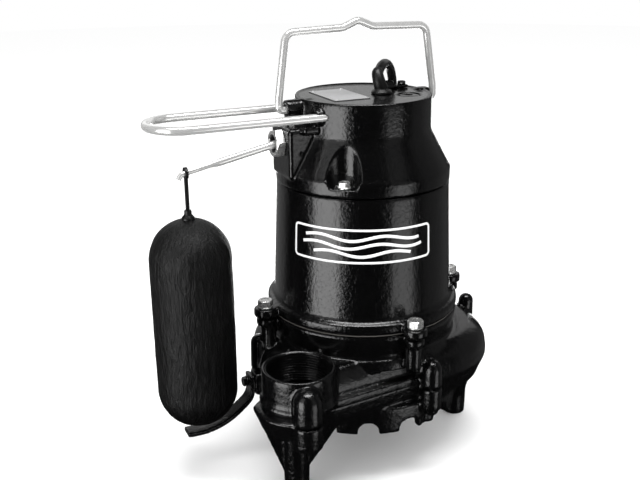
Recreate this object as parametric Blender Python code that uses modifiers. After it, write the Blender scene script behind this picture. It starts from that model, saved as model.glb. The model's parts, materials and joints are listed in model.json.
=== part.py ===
"""A cast-iron submersible sump pump with a vertical float on a lever.

Every size is in millimetres, measured from the motor's axis and from the floor that the feet
stand on: X runs away from the float, Y runs to the back and Z runs up. The helpers turn them
into metres and shift them by AXIS_X, so that the origin lies below the middle of the object.
"""

import math

import bmesh
import bpy
from mathutils import Matrix, Vector

MM = 0.001
AXIS_X = 33.0  # the motor's axis, from the middle of the object
GAP = 0.3  # between pieces that touch
HOLE_GAP = 0.6  # round a screw's shank

# Heights of the castings
TEETH_Z = 41.0
BASE_LOW_Z = 59.5
BASE_ROOF_Z = 70.0  # the roof of the suction chamber, under the base plate
BASE_TOP_Z = 77.85
RIM_Z = 84.5  # the top of the casing's bolting rim
NECK_Z = 104.0
CASING_TOP_Z = 124.6
HOUSING_LOW_Z = 125.9
FLANGE_TOP_Z = 133.5
HOUSING_TOP_Z = 232.3
COVER_LOW_Z = 232.9
BAND_TOP_Z = 244.4
CONE_TOP_Z = 272.0
DISC_Z = 300.0

# Radii of the castings
SKIRT_R = 83.0
SKIRT_BORE_R = 76.0
EYE_R = 24.0
NECK_R = 79.0
FLANGE_R = 79.5
BODY_LOW_R = 73.8
BODY_TOP_R = 70.0
CAP_R = 54.2
STATOR_BORE_R = 63.7

# Discharge
DISCHARGE = (-87.0, -63.5)
DISCHARGE_R = 28.75
DISCHARGE_BORE_R = 24.0
DISCHARGE_Z = 109.0
LOBE_R = 29.6  # of the casing round the discharge
BASE_LOBE_R = 36.5  # of the base plate below it

# Screw bosses round the casing: place, radius of the dome, and its height
BOSSES = (
    (-94.0, -95.0, 11.0, 106.0),
    (18.0, -86.0, 7.2, 101.0),
    (107.0, 0.0, 6.6, 110.0),
    (-92.5, 5.0, 7.2, 108.0),
    (14.0, 95.0, 7.2, 108.0),
)
SCREW_R = 3.0
LUG_Z = 58.0

# Feet: place, and the direction of the web
LEGS = ((-90.0, -63.0, -25.0), (92.0, -10.0, 85.0), (-29.0, 91.0, 18.0))
LEG_R = 9.8

# Housing bolts and cover screws
BOLT_RING_R = 88.0
BOLT_ANGLES = (0.0, 90.0, 180.0, 270.0)
COVER_SCREW_RING_R = 64.5
COVER_SCREW_ANGLES = (230.0, 10.0, 120.0)
POCKET_R = 14.0
POCKET_Z = 239.0

# Switch box, lever and float
BOX_X = -71.5
BOX_HALF_Y = 18.0
LEVER_PIVOT = (-74.0, 0.0, 267.0)
LEVER_TIP = (-148.0, 0.0, 252.0)
LEVER_R = 3.0
TIP_R = 2.0
FLOAT_R = 32.0
FLOAT_LOW_Z = 44.0
FLOAT_TOP_Z = 216.7

# Float rest arm
ARM_Y = 0.0
ARM_SCREW_Y = 1.0
ARM_SCREW_Z = 70.0

# Wire handles
PIVOT_Z = 292.0
BAIL_R = 3.0
BAIL_Z = 351.0
GUARD_R = 3.15
GUARD_Z = 289.0
GUARD_HALF_Y = 26.0

# Shaft
SHAFT_R = 7.0
BEARING_R = 17.5

# Power cord
CORD_R = 3.8
RELIEF = (15.0, -3.0)
EXIT = Vector((15.5, 3.5, 315.4))
COIL = (88.0, 166.0)
COIL_R = 43.5  # to the middle of the bundle of turns
BUNDLE_HALF = 11.4
BUNDLE_LOW_Z = 0.6
BUNDLE_TOP_Z = 23.6
PLUG_HALF_Z = 11.0

# Colours, roughness and metallic value of the materials
MATERIALS = {
    "black_enamel": ((0.012, 0.012, 0.013), 0.22, 0.0),
    "bright_wire": ((0.72, 0.71, 0.69), 0.2, 1.0),
    "zinc_steel": ((0.6, 0.61, 0.62), 0.34, 1.0),
    "float_plastic": ((0.02, 0.02, 0.021), 0.62, 0.0),
    "black_rubber": ((0.018, 0.018, 0.018), 0.7, 0.0),
    "cord_jacket": ((0.016, 0.016, 0.017), 0.45, 0.0),
    "label_foil": ((0.55, 0.56, 0.57), 0.35, 0.6),
    "bare_iron": ((0.2, 0.19, 0.18), 0.6, 0.9),
    "stator_steel": ((0.3, 0.3, 0.32), 0.5, 0.9),
    "copper_winding": ((0.55, 0.24, 0.1), 0.45, 0.8),
    "bearing_steel": ((0.6, 0.6, 0.62), 0.25, 1.0),
    "seal_ceramic": ((0.78, 0.76, 0.7), 0.4, 0.0),
    "gasket_fibre": ((0.09, 0.085, 0.08), 0.8, 0.0),
    "switch_plastic": ((0.12, 0.03, 0.025), 0.5, 0.0),
    "capacitor_shell": ((0.1, 0.1, 0.11), 0.4, 0.0),
    "brass": ((0.66, 0.48, 0.2), 0.3, 1.0),
}


# ---- scene and material helpers ----


def empty_scene():
    for obj in list(bpy.data.objects):
        bpy.data.objects.remove(obj, do_unlink=True)


def collection(name):
    group = bpy.data.collections.new(name)
    bpy.context.scene.collection.children.link(group)
    return group


def material(name):
    found = bpy.data.materials.get(name)
    if found:
        return found
    colour, roughness, metallic = MATERIALS[name]
    made = bpy.data.materials.new(name)
    made.use_nodes = True
    shader = made.node_tree.nodes["Principled BSDF"]
    shader.inputs["Base Color"].default_value = (*colour, 1.0)
    shader.inputs["Roughness"].default_value = roughness
    shader.inputs["Metallic"].default_value = metallic
    return made


def node(name, mesh, finish, origin=(0.0, 0.0, 0.0), smooth_angle=35.0):
    """Makes the named piece from a mesh in millimetres, with its own origin."""
    place = Vector(origin)
    mesh.transform(Matrix.Diagonal((MM, MM, MM, 1.0)) @ Matrix.Translation(-place))
    mesh.name = name
    mesh.materials.clear()
    mesh.materials.append(material(finish))
    mesh.shade_smooth()
    mesh.set_sharp_from_angle(angle=math.radians(smooth_angle))
    piece = bpy.data.objects.new(name, mesh)
    piece.location = (place + Vector((AXIS_X, 0.0, 0.0))) * MM
    PUMP.objects.link(piece)
    return piece


# ---- solid helpers: each returns a mesh in millimetres ----


def evaluated(obj):
    """The mesh of an object with its modifiers applied; the object is removed."""
    bpy.context.view_layer.update()
    graph = bpy.context.evaluated_depsgraph_get()
    mesh = bpy.data.meshes.new_from_object(obj.evaluated_get(graph))
    mesh.transform(obj.matrix_world)
    bpy.data.objects.remove(obj, do_unlink=True)
    return mesh


def scratch(data):
    obj = bpy.data.objects.new("scratch", data)
    bpy.context.scene.collection.objects.link(obj)
    return obj


def from_bmesh(made, turn=None):
    mesh = bpy.data.meshes.new("solid")
    if turn is not None:
        bmesh.ops.transform(made, matrix=turn, verts=made.verts)
    made.to_mesh(mesh)
    made.free()
    return mesh


def combined(operation, first, *others):
    target = scratch(first)
    tools = [scratch(mesh) for mesh in others]
    for tool in tools:
        step = target.modifiers.new("combine", "BOOLEAN")
        step.operation = operation
        step.solver = "EXACT"
        step.object = tool
    mesh = evaluated(target)
    for tool in tools:
        bpy.data.objects.remove(tool, do_unlink=True)
    return mesh


def fused(first, *others):
    return combined("UNION", first, *others)


def cut(first, *others):
    return combined("DIFFERENCE", first, *others)


def turned(profile, steps=28, at=(0.0, 0.0)):
    """A turned solid: (radius, height) pairs down the outer side, closed along the axis or as a ring."""
    mesh = bpy.data.meshes.new("profile")
    count = len(profile)
    edges = [(i, i + 1) for i in range(count - 1)]
    if min(r for r, _ in profile) > 0.0:
        edges.append((count - 1, 0))
    mesh.from_pydata([(r, 0.0, z) for r, z in profile], edges, [])
    obj = scratch(mesh)
    screw = obj.modifiers.new("turn", "SCREW")
    screw.steps = steps
    screw.render_steps = steps
    screw.use_merge_vertices = True
    screw.merge_threshold = 0.0001
    obj.location = (at[0], at[1], 0.0)
    return evaluated(obj)


def ring(outer, inner, low, high, steps=24, at=(0.0, 0.0)):
    return turned([(outer, high), (outer, low), (inner, low), (inner, high)], steps, at)


def rod(radius, low, high, at=(0.0, 0.0), sides=14, top_radius=None):
    """An upright cylinder, or a cone where the top radius differs."""
    made = bmesh.new()
    bmesh.ops.create_cone(
        made,
        cap_ends=True,
        segments=sides,
        radius1=radius,
        radius2=radius if top_radius is None else top_radius,
        depth=high - low,
    )
    return from_bmesh(made, Matrix.Translation((at[0], at[1], (low + high) / 2)))


def screw_hole(radius, low, high, at):
    """A cutter for a screw's shank, spun so that its corners miss those of the round bosses."""
    made = bmesh.new()
    bmesh.ops.create_cone(
        made,
        cap_ends=True,
        segments=8,
        radius1=radius + HOLE_GAP,
        radius2=radius + HOLE_GAP,
        depth=high - low,
    )
    spin = Matrix.Rotation(math.radians(11), 4, "Z")
    return from_bmesh(made, Matrix.Translation((at[0], at[1], (low + high) / 2)) @ spin)


def rod_along_x(radius, low, high, y, z, sides=14):
    made = bmesh.new()
    bmesh.ops.create_cone(
        made, cap_ends=True, segments=sides, radius1=radius, radius2=radius, depth=high - low
    )
    turn = Matrix.Translation(((low + high) / 2, y, z)) @ Matrix.Rotation(math.pi / 2, 4, "Y")
    return from_bmesh(made, turn)


def block(low, high, bevel=0.0, turn=None):
    """A box between two corners, with its edges bevelled."""
    low, high = Vector(low), Vector(high)
    made = bmesh.new()
    bmesh.ops.create_cube(made, size=1.0)
    bmesh.ops.transform(made, matrix=Matrix.Diagonal((*(high - low), 1.0)), verts=made.verts)
    if bevel:
        bmesh.ops.bevel(
            made, geom=made.edges[:], offset=bevel, segments=1, affect="EDGES", profile=0.5
        )
    place = Matrix.Translation((low + high) / 2)
    return from_bmesh(made, place if turn is None else turn @ place)


def slab(outline, low, high):
    """A flat outline, from one height to another."""
    curve = bpy.data.curves.new("outline", "CURVE")
    curve.dimensions = "2D"
    curve.fill_mode = "BOTH"
    curve.extrude = (high - low) / 2
    spline = curve.splines.new("POLY")
    spline.points.add(len(outline) - 1)
    for point, (x, y) in zip(spline.points, outline, strict=True):
        point.co = (x, y, 0.0, 1.0)
    spline.use_cyclic_u = True
    obj = scratch(curve)
    obj.location.z = (low + high) / 2
    return welded(evaluated(obj))


def welded(mesh):
    made = bmesh.new()
    made.from_mesh(mesh)
    bmesh.ops.remove_doubles(made, verts=made.verts, dist=0.0005)
    return from_bmesh(made)


def tube(points, radius, radii=None, resolution=2):
    """A round bar through the points; radii scales its radius at each one."""
    curve = bpy.data.curves.new("bar", "CURVE")
    curve.dimensions = "3D"
    curve.bevel_depth = radius
    curve.bevel_resolution = resolution
    curve.use_fill_caps = True
    spline = curve.splines.new("POLY")
    spline.points.add(len(points) - 1)
    for i, (point, place) in enumerate(zip(spline.points, points, strict=True)):
        point.co = (*place, 1.0)
        point.radius = radii[i] if radii else 1.0
    return welded(evaluated(scratch(curve)))


def rounded(points, radii, steps=4):
    """The points of a path, with each inner corner turned into an arc of its own radius."""
    points = [Vector(p) for p in points]
    path = [points[0]]
    for radius, before, corner, after in zip(radii, points, points[1:], points[2:]):
        back, ahead = (before - corner).normalized(), (after - corner).normalized()
        half = back.angle(ahead) / 2
        reach = radius / math.tan(half)
        middle = corner + (back + ahead).normalized() * radius / math.sin(half)
        start = (corner + back * reach - middle).normalized()
        end = (corner + ahead * reach - middle).normalized()
        path += [middle + start.slerp(end, i / steps) * radius for i in range(steps + 1)]
    return [*path, points[-1]]


def smooth_path(points, spacing):
    """Points about a spacing apart on a smooth curve through the given ones."""
    points = [Vector(p) for p in points]
    ends = [2 * points[0] - points[1], *points, 2 * points[-1] - points[-2]]
    path = []
    for a, b, c, d in zip(ends, ends[1:], ends[2:], ends[3:]):
        steps = max(1, round((c - b).length / spacing))
        for i in range(steps):
            t = i / steps
            path.append(
                0.5
                * (
                    2 * b
                    + (c - a) * t
                    + (2 * a - 5 * b + 4 * c - d) * t**2
                    + (3 * b - a - 3 * c + d) * t**3
                )
            )
    return [*path, points[-1]]


def loft(sections):
    """A solid through rings of equally many points, from the lowest up."""
    made = bmesh.new()
    rings = [[made.verts.new((x, y, z)) for x, y in outline] for z, outline in sections]
    count = len(rings[0])
    for low, high in zip(rings, rings[1:]):
        for i in range(count):
            j = (i + 1) % count
            made.faces.new((low[i], low[j], high[j], high[i]))
    made.faces.new(rings[-1])
    made.faces.new(reversed(rings[0]))
    return from_bmesh(made)


def polar(radius, degrees, centre=(0.0, 0.0)):
    angle = math.radians(degrees)
    return (centre[0] + radius * math.cos(angle), centre[1] + radius * math.sin(angle))


def hexagon(across, low, high, at, turn=0.0):
    """A hexagonal prism, by its width across the flats."""
    corner = across / math.sqrt(3)
    made = bmesh.new()
    bmesh.ops.create_cone(
        made, cap_ends=True, segments=6, radius1=corner, radius2=corner, depth=high - low
    )
    place = Matrix.Translation((at[0], at[1], (low + high) / 2)) @ Matrix.Rotation(turn, 4, "Z")
    return from_bmesh(made, place)


# ---- castings ----


def scroll_radius(degrees):
    """The casing's radius: widest at the right, and drawn in to the cut-water at the front."""
    share = min(max((-22.0 - degrees) / 52.0, 0.0), 1.0)
    cut_water = 16.0 * share**2 * (3.0 - 2.0 * share)
    return 101.0 + 7.0 * math.cos(math.radians(degrees + 10.0)) - cut_water


def casing_outline(inset, front_inset, lobe=LOBE_R, step=10):
    """The outline of the base plate or the casing: scroll, discharge lobe, front wall."""
    scroll = [polar(scroll_radius(a) - inset, a) for a in range(-74, 197, step)]
    lobe_arc = [polar(lobe - inset, a, DISCHARGE) for a in range(165, 250, 17)]
    wall = [(-70.0 + i * 40.0, -85.5 + i * 3.4 + front_inset) for i in range(3)]
    return scroll + lobe_arc + wall


def screw_holes(low, high):
    return [screw_hole(SCREW_R, low, high, (x, y)) for x, y, _, _ in BOSSES]


def leg(x, y, degrees):
    """A round column with a web that widens up to the plate."""
    column = rod(LEG_R, 0.0, BASE_LOW_Z + 6.0, (x, y), 16, top_radius=LEG_R + 1.2)
    web = slab([(-7.0, 12.0), (6.0, 18.0), (34.0, 62.0), (-27.0, 62.0)], -4.5, 4.5)
    web.transform(
        Matrix.Translation((x, y, 0.0))
        @ Matrix.Rotation(math.radians(degrees), 4, "Z")
        @ Matrix.Rotation(math.pi / 2, 4, "X")
    )
    return fused(column, web)


def base_plate():
    plate = loft(
        [
            (BASE_LOW_Z, casing_outline(7.0, 3.0, BASE_LOBE_R)),
            (BASE_LOW_Z + 9.0, casing_outline(4.0, 1.0, BASE_LOBE_R)),
            (BASE_TOP_Z, casing_outline(0.0, 0.0, BASE_LOBE_R)),
        ]
    )
    lugs = [rod(r + 0.5, LUG_Z, BASE_TOP_Z - 0.4, (x, y), 14) for x, y, r, _ in BOSSES]
    skirt = rod(SKIRT_R, TEETH_Z, BASE_LOW_Z + 4.0, sides=45)
    pad = block((-101.2, ARM_Y - 6.5, 60.5), (-84.0, ARM_Y + 6.5, 77.0))
    plate = fused(plate, skirt, pad, *lugs, *[leg(*place) for place in LEGS])
    arches = []
    for i in range(15):
        arch = rod_along_x(8.5, 66.0, 92.0, 0.0, 43.0, 10)
        arch.transform(Matrix.Rotation(math.radians(-113.5 + 24.0 * i), 4, "Z"))
        arches.append(arch)
    chamber = rod(SKIRT_BORE_R, TEETH_Z - 5.0, BASE_ROOF_Z, sides=45)
    eye = rod(EYE_R, BASE_ROOF_Z - 5.0, BASE_TOP_Z + 5.0, sides=24)
    arm_hole = rod_along_x(2.0 + HOLE_GAP, -106.0, -96.7, ARM_SCREW_Y, ARM_SCREW_Z, 8)
    holes = screw_holes(LUG_Z - 5.0, BASE_TOP_Z + 5.0)
    head_room = [rod(6.8, TEETH_Z - 5.0, LUG_Z, (x, y), 10) for x, y, _, _ in BOSSES]
    return cut(plate, chamber, eye, arm_hole, *arches, *holes, *head_room)


def dome(x, y, radius, top):
    """A blind boss with a round top."""
    profile = [(0.0, top)]
    shoulder = top - radius
    profile += [
        (radius * math.sin(a), shoulder + radius * math.cos(a))
        for a in (math.radians(d) for d in (35, 65, 90))
    ]
    profile += [(radius, BASE_TOP_Z + 1.0), (0.0, BASE_TOP_Z + 1.0)]
    return turned(profile, 12, (x, y))


def volute_casing():
    low = BASE_TOP_Z + GAP
    shell = loft(
        [
            (low, casing_outline(0.0, 0.0)),
            (RIM_Z, casing_outline(0.0, 0.0)),
            (RIM_Z + 0.6, casing_outline(0.6, 6.5)),
            (93.0, casing_outline(2.0, 8.0)),
            (99.0, casing_outline(7.0, 11.0)),
            (NECK_Z, casing_outline(16.0, 16.0)),
        ]
    )
    neck = rod(NECK_R, 95.0, CASING_TOP_Z, sides=40)
    boss = turned(
        [
            (0.0, DISCHARGE_Z),
            (DISCHARGE_R - 1.2, DISCHARGE_Z),
            (DISCHARGE_R, DISCHARGE_Z - 1.2),
            (DISCHARGE_R, low + 1.0),
            (0.0, low + 1.0),
        ],
        28,
        DISCHARGE,
    )
    domes = [dome(*place) for place in BOSSES]
    posts = [
        rod(6.5, 98.0, CASING_TOP_Z - 2.0, polar(BOLT_RING_R - 2.0, a), 12) for a in BOLT_ANGLES
    ]
    ears = [
        rod(9.5, CASING_TOP_Z - 6.0, CASING_TOP_Z, polar(BOLT_RING_R, a), 16) for a in BOLT_ANGLES
    ]
    body = fused(shell, neck, boss, *domes, *posts, *ears)
    scroll = slab(casing_outline(13.0, 20.0, LOBE_R, 18), low - 5.0, 93.0)
    mouth = turned(
        [
            (0.0, DISCHARGE_Z + 3.0),
            (DISCHARGE_BORE_R + 5.0, DISCHARGE_Z + 3.0),
            (DISCHARGE_BORE_R, DISCHARGE_Z - 2.0),
            (DISCHARGE_BORE_R - 0.8, 83.0),
            (0.0, 83.0),
        ],
        28,
        DISCHARGE,
    )
    throat = rod(14.0, low - 5.0, 94.0, DISCHARGE, 16)
    wells = turned(
        [
            (0.0, CASING_TOP_Z + 5.0),
            (BEARING_R + GAP, CASING_TOP_Z + 5.0),
            (BEARING_R + GAP, 111.0),
            (14.3, 111.0),
            (14.3, 102.5),
            (18.5, 102.5),
            (18.5, 90.0),
            (0.0, 90.0),
        ],
        24,
    )
    oil_well = ring(60.0, 23.0, 101.0, CASING_TOP_Z + 5.0, 32)
    bolt_holes = [
        screw_hole(SCREW_R, 106.0, CASING_TOP_Z + 5.0, polar(BOLT_RING_R, a))
        for a in BOLT_ANGLES
    ]
    return cut(
        body,
        scroll,
        mouth,
        throat,
        wells,
        oil_well,
        *bolt_holes,
        *screw_holes(low - 5.0, 97.0),
    )


def motor_housing():
    shell = turned(
        [
            (BODY_TOP_R, HOUSING_TOP_Z),
            (BODY_LOW_R, FLANGE_TOP_Z + 3.0),
            (BODY_LOW_R + 3.0, FLANGE_TOP_Z),
            (FLANGE_R, FLANGE_TOP_Z),
            (FLANGE_R, HOUSING_LOW_Z),
            (STATOR_BORE_R, HOUSING_LOW_Z),
            (STATOR_BORE_R, 221.0),
            (55.0, 222.5),
            (55.0, HOUSING_TOP_Z - 2.2),
            (59.2, HOUSING_TOP_Z - 2.2),
            (59.2, HOUSING_TOP_Z),
        ],
        40,
    )
    ears = [
        rod(9.5, HOUSING_LOW_Z, FLANGE_TOP_Z - 0.4, polar(BOLT_RING_R, a), 16) for a in BOLT_ANGLES
    ]
    body = fused(shell, *ears)
    holes = [
        screw_hole(SCREW_R, HOUSING_LOW_Z - 5.0, FLANGE_TOP_Z + 5.0, polar(BOLT_RING_R, a))
        for a in BOLT_ANGLES
    ]
    screw_taps = [
        screw_hole(2.0, HOUSING_TOP_Z - 12.0, HOUSING_TOP_Z + 5.0, polar(COVER_SCREW_RING_R, a))
        for a in COVER_SCREW_ANGLES
    ]
    return cut(body, *holes, *screw_taps)


def motor_cover():
    lip = 1.2
    shell = turned(
        [
            (0.0, DISC_Z - lip),
            (CAP_R - 2.6, DISC_Z - lip),
            (CAP_R - 2.2, DISC_Z),
            (CAP_R - 0.4, DISC_Z),
            (CAP_R + 0.3, CONE_TOP_Z + 1.0),
            (69.3, BAND_TOP_Z + 0.6),
            (70.5, BAND_TOP_Z - 0.6),
            (70.5, COVER_LOW_Z),
            (0.0, COVER_LOW_Z),
        ],
        40,
    )
    box = block((BOX_X, -BOX_HALF_Y, 241.0), (-40.0, BOX_HALF_Y, 280.0), 2.0)
    bracket = block((-66.5, -5.0, 276.0), (-45.0, 5.0, PIVOT_Z), 1.0)
    left_pivot = rod_along_x(6.2, -67.0, -45.0, 0.0, PIVOT_Z + 1.6)
    right_pivot = rod_along_x(6.0, 45.0, 59.5, 0.0, PIVOT_Z + 1.0)
    guard_bosses = [
        rod_along_x(5.6, -53.5, -30.0, side * GUARD_HALF_Y, GUARD_Z, 16) for side in (-1.0, 1.0)
    ]
    body = fused(shell, box, bracket, left_pivot, right_pivot, *guard_bosses)
    inside = turned(
        [
            (0.0, 290.0),
            (47.5, 290.0),
            (47.5, 262.0),
            (50.0, 258.0),
            (50.0, 240.0),
            (54.0, 237.0),
            (54.0, COVER_LOW_Z - 5.0),
            (0.0, COVER_LOW_Z - 5.0),
        ]
    )
    pockets = [
        rod(POCKET_R, POCKET_Z, 290.0, polar(70.0, a), 18) for a in COVER_SCREW_ANGLES
    ]
    screw_holes_through = [
        screw_hole(2.0, COVER_LOW_Z - 5.0, POCKET_Z + 5.0, polar(COVER_SCREW_RING_R, a))
        for a in COVER_SCREW_ANGLES
    ]
    switch_room = block((BOX_X + 4.0, -13.0, 247.0), (-40.0, 13.0, 276.0))
    gland_hole = rod_along_x(7.0, BOX_X - 5.0, BOX_X + 10.0, 0.0, LEVER_PIVOT[2])
    bail_holes = [
        rod_along_x(BAIL_R + GAP, -72.0, -54.5, 0.0, PIVOT_Z, 16),
        rod_along_x(BAIL_R + GAP, 51.5, 65.0, 0.0, PIVOT_Z, 16),
    ]
    guard_holes = [
        rod_along_x(GUARD_R + GAP, -58.0, -40.0, side * GUARD_HALF_Y, GUARD_Z, 16)
        for side in (-1.0, 1.0)
    ]
    relief_hole = rod(5.6, 285.0, 305.0, RELIEF, 14)
    plug_seat = rod(9.0, DISC_Z - 4.0, 305.0, (32.0, -16.0), 16)
    plug_thread = rod(5.0, 285.0, 305.0, (32.0, -16.0), 8)
    clamp_hole = screw_hole(1.6, DISC_Z - 6.0, 305.0, (44.0, 16.0))
    return cut(
        body,
        inside,
        switch_room,
        gland_hole,
        relief_hole,
        plug_seat,
        plug_thread,
        clamp_hole,
        *pockets,
        *screw_holes_through,
        *bail_holes,
        *guard_holes,
    )


# ---- fasteners and seals ----


def bolt(x, y, head_low, head_high, across, shank_low, shank_radius, turn=0.0):
    """A hex-head bolt with its washer face, head up."""
    head = hexagon(across, head_low + 1.0, head_high, (x, y), turn)
    washer = rod(across / 2 + 0.9, head_low, head_low + 1.4, (x, y), 12)
    shank = rod(shank_radius, shank_low, head_low + 0.8, (x, y), 8)
    return fused(head, washer, shank)


def fasteners():
    for i, angle in enumerate(BOLT_ANGLES, 1):
        place = polar(BOLT_RING_R, angle)
        made = bolt(*place, FLANGE_TOP_Z - 0.1, 141.2, 10.6, 108.0, SCREW_R, math.radians(angle + 8))
        node(f"housing_bolt_{i}", made, "zinc_steel")
    for i, angle in enumerate(COVER_SCREW_ANGLES, 1):
        place = polar(COVER_SCREW_RING_R, angle)
        made = bolt(*place, POCKET_Z + GAP, POCKET_Z + 5.2, 8.0, 222.0, 2.0, math.radians(angle))
        node(f"cover_screw_{i}", made, "zinc_steel")
    for i, (x, y, _, _) in enumerate(BOSSES, 1):
        upside_down = bolt(x, y, -LUG_Z + GAP, -LUG_Z + 5.5, 10.0, -95.5, SCREW_R)
        upside_down.transform(
            Matrix.Translation((x, y, 0.0))
            @ Matrix.Rotation(math.pi, 4, "X")
            @ Matrix.Translation((-x, -y, 0.0))
        )
        node(f"base_screw_{i}", upside_down, "zinc_steel")


def seals():
    gasket = ring(NECK_R - 0.8, STATOR_BORE_R + 0.5, 124.9, 125.6, 36)
    node("housing_gasket", gasket, "gasket_fibre")
    o_ring = ring(58.8, 56.0, HOUSING_TOP_Z - 1.9, COVER_LOW_Z - GAP)
    node("cover_o_ring", o_ring, "black_rubber")


# ---- motor, shaft and impeller ----


def motor():
    node("stator_core", ring(STATOR_BORE_R - GAP, 32.0, 150.0, 195.0), "stator_steel")
    for name, low, high in (("lower_winding", 133.0, 149.7), ("upper_winding", 195.3, 212.0)):
        winding = turned(
            [(58.0, high - 5.0), (58.0, low + 5.0), (53.0, low), (37.0, low)]
            + [(37.0, high), (53.0, high)],
            28,
        )
        node(name, winding, "copper_winding")
    plate = turned(
        [
            (21.5, 231.5),
            (21.5, 220.7),
            (STATOR_BORE_R - GAP, 220.7),
            (STATOR_BORE_R - GAP, 216.3),
            (14.0, 216.3),
            (14.0, 219.0),
            (BEARING_R + GAP, 219.0),
            (BEARING_R + GAP, 231.5),
        ],
        24,
    )
    node("upper_bearing_plate", plate, "bare_iron")
    node("upper_bearing", ring(BEARING_R, SHAFT_R + GAP, 219.3, 230.3), "bearing_steel")
    node("lower_bearing", ring(BEARING_R, SHAFT_R + GAP, 111.3, 122.3), "bearing_steel")
    node("seal_seat", ring(14.0, SHAFT_R + GAP, 102.8, 110.0), "seal_ceramic")


def rotor():
    shaft = turned(
        [
            (0.0, 232.0),
            (SHAFT_R - 0.8, 232.0),
            (SHAFT_R, 231.2),
            (SHAFT_R, 91.0),
            (5.0, 91.0),
            (5.0, 72.5),
            (0.0, 72.5),
        ],
        16,
    )
    node("shaft", shaft, "bearing_steel")
    node("rotor_core", ring(31.2, SHAFT_R + GAP, 150.0, 195.0), "stator_steel")
    node("impeller", impeller(), "bare_iron")
    nut = cut(hexagon(17.0, 73.0, 79.2, (0.0, 0.0)), rod(5.0 + GAP, 70.0, 85.0, sides=16))
    node("impeller_nut", nut, "brass")
    node("seal_head", ring(12.5, SHAFT_R + GAP, 98.2, 102.5), "seal_ceramic")
    turns, low, high = 2.0, 92.1, 97.0
    steps = 16
    coil = [
        (*polar(9.6, 360.0 * turns * i / steps), low + (high - low) * i / steps)
        for i in range(steps + 1)
    ]
    node("seal_spring", tube(coil, 0.8), "bearing_steel")


def impeller():
    """A hub and a back disc, with six swept vanes below it."""
    bore = 5.0 + GAP
    hub = turned(
        [
            (bore, 90.5),
            (12.0, 90.5),
            (12.5, 89.0),
            (57.0, 87.5),
            (57.0, 85.0),
            (15.0, 84.5),
            (13.0, 79.6),
            (bore, 79.6),
        ],
        32,
    )
    vanes = []
    for i in range(6):
        middle = [polar(11.0 + 45.0 * s, 60.0 * i + 70.0 * s) for s in (0, 0.25, 0.5, 0.75, 1.0)]
        outer = [polar(math.hypot(x, y), math.degrees(math.atan2(y, x)) + 4.5) for x, y in middle]
        vanes.append(slab(middle + outer[::-1], 80.1, 86.0))
    return fused(hub, *vanes)


# ---- switch, lever and float ----


def switch_gear():
    body = cut(
        block((-64.5, -7.0, 249.5), (-50.0, 7.0, 258.2), 0.6),
        rod(2.4, 250.8, 265.0, (-57.5, 0.0), 12),
    )
    node("microswitch", body, "switch_plastic")
    bracket = fused(
        block((-66.5, -8.5, 247.3), (-48.0, 8.5, 249.2)),
        block((-49.7, -8.5, 247.5), (-48.0, 8.5, 262.0)),
    )
    node("switch_bracket", bracket, "zinc_steel")
    plunger = rod(2.0, 257.4, 265.4, (-57.5, 0.0), 12)
    node("switch_plunger", plunger, "switch_plastic", (-57.5, 0.0, 262.0))
    shell = turned(
        [(0.0, 282.0), (15.0, 282.0), (16.0, 280.0), (16.0, 240.0), (0.0, 240.0)], 18, (24.0, 18.0)
    )
    node("capacitor", shell, "capacitor_shell")


def gland():
    nut = hexagon(21.0, 0.0, 7.2, (0.0, 0.0), math.radians(12))
    nut = cut(nut, rod(6.7, -5.0, 15.0, sides=16))
    outwards = Matrix.Translation((BOX_X - GAP, 0.0, LEVER_PIVOT[2])) @ Matrix.Rotation(
        -math.pi / 2, 4, "Y"
    )
    nut.transform(outwards)
    node("gland_nut", nut, "zinc_steel")
    boot = ring(6.4, 4.9, -3.0, 6.0, 16)
    boot.transform(outwards)
    node("lever_boot", boot, "black_rubber")


def lever_point(x, lift=0.0):
    """A point on the lever's line at rest."""
    slope = (LEVER_TIP[2] - LEVER_PIVOT[2]) / (LEVER_TIP[0] - LEVER_PIVOT[0])
    return (x, 0.0, LEVER_PIVOT[2] + slope * (x - LEVER_PIVOT[0]) + lift)


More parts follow.
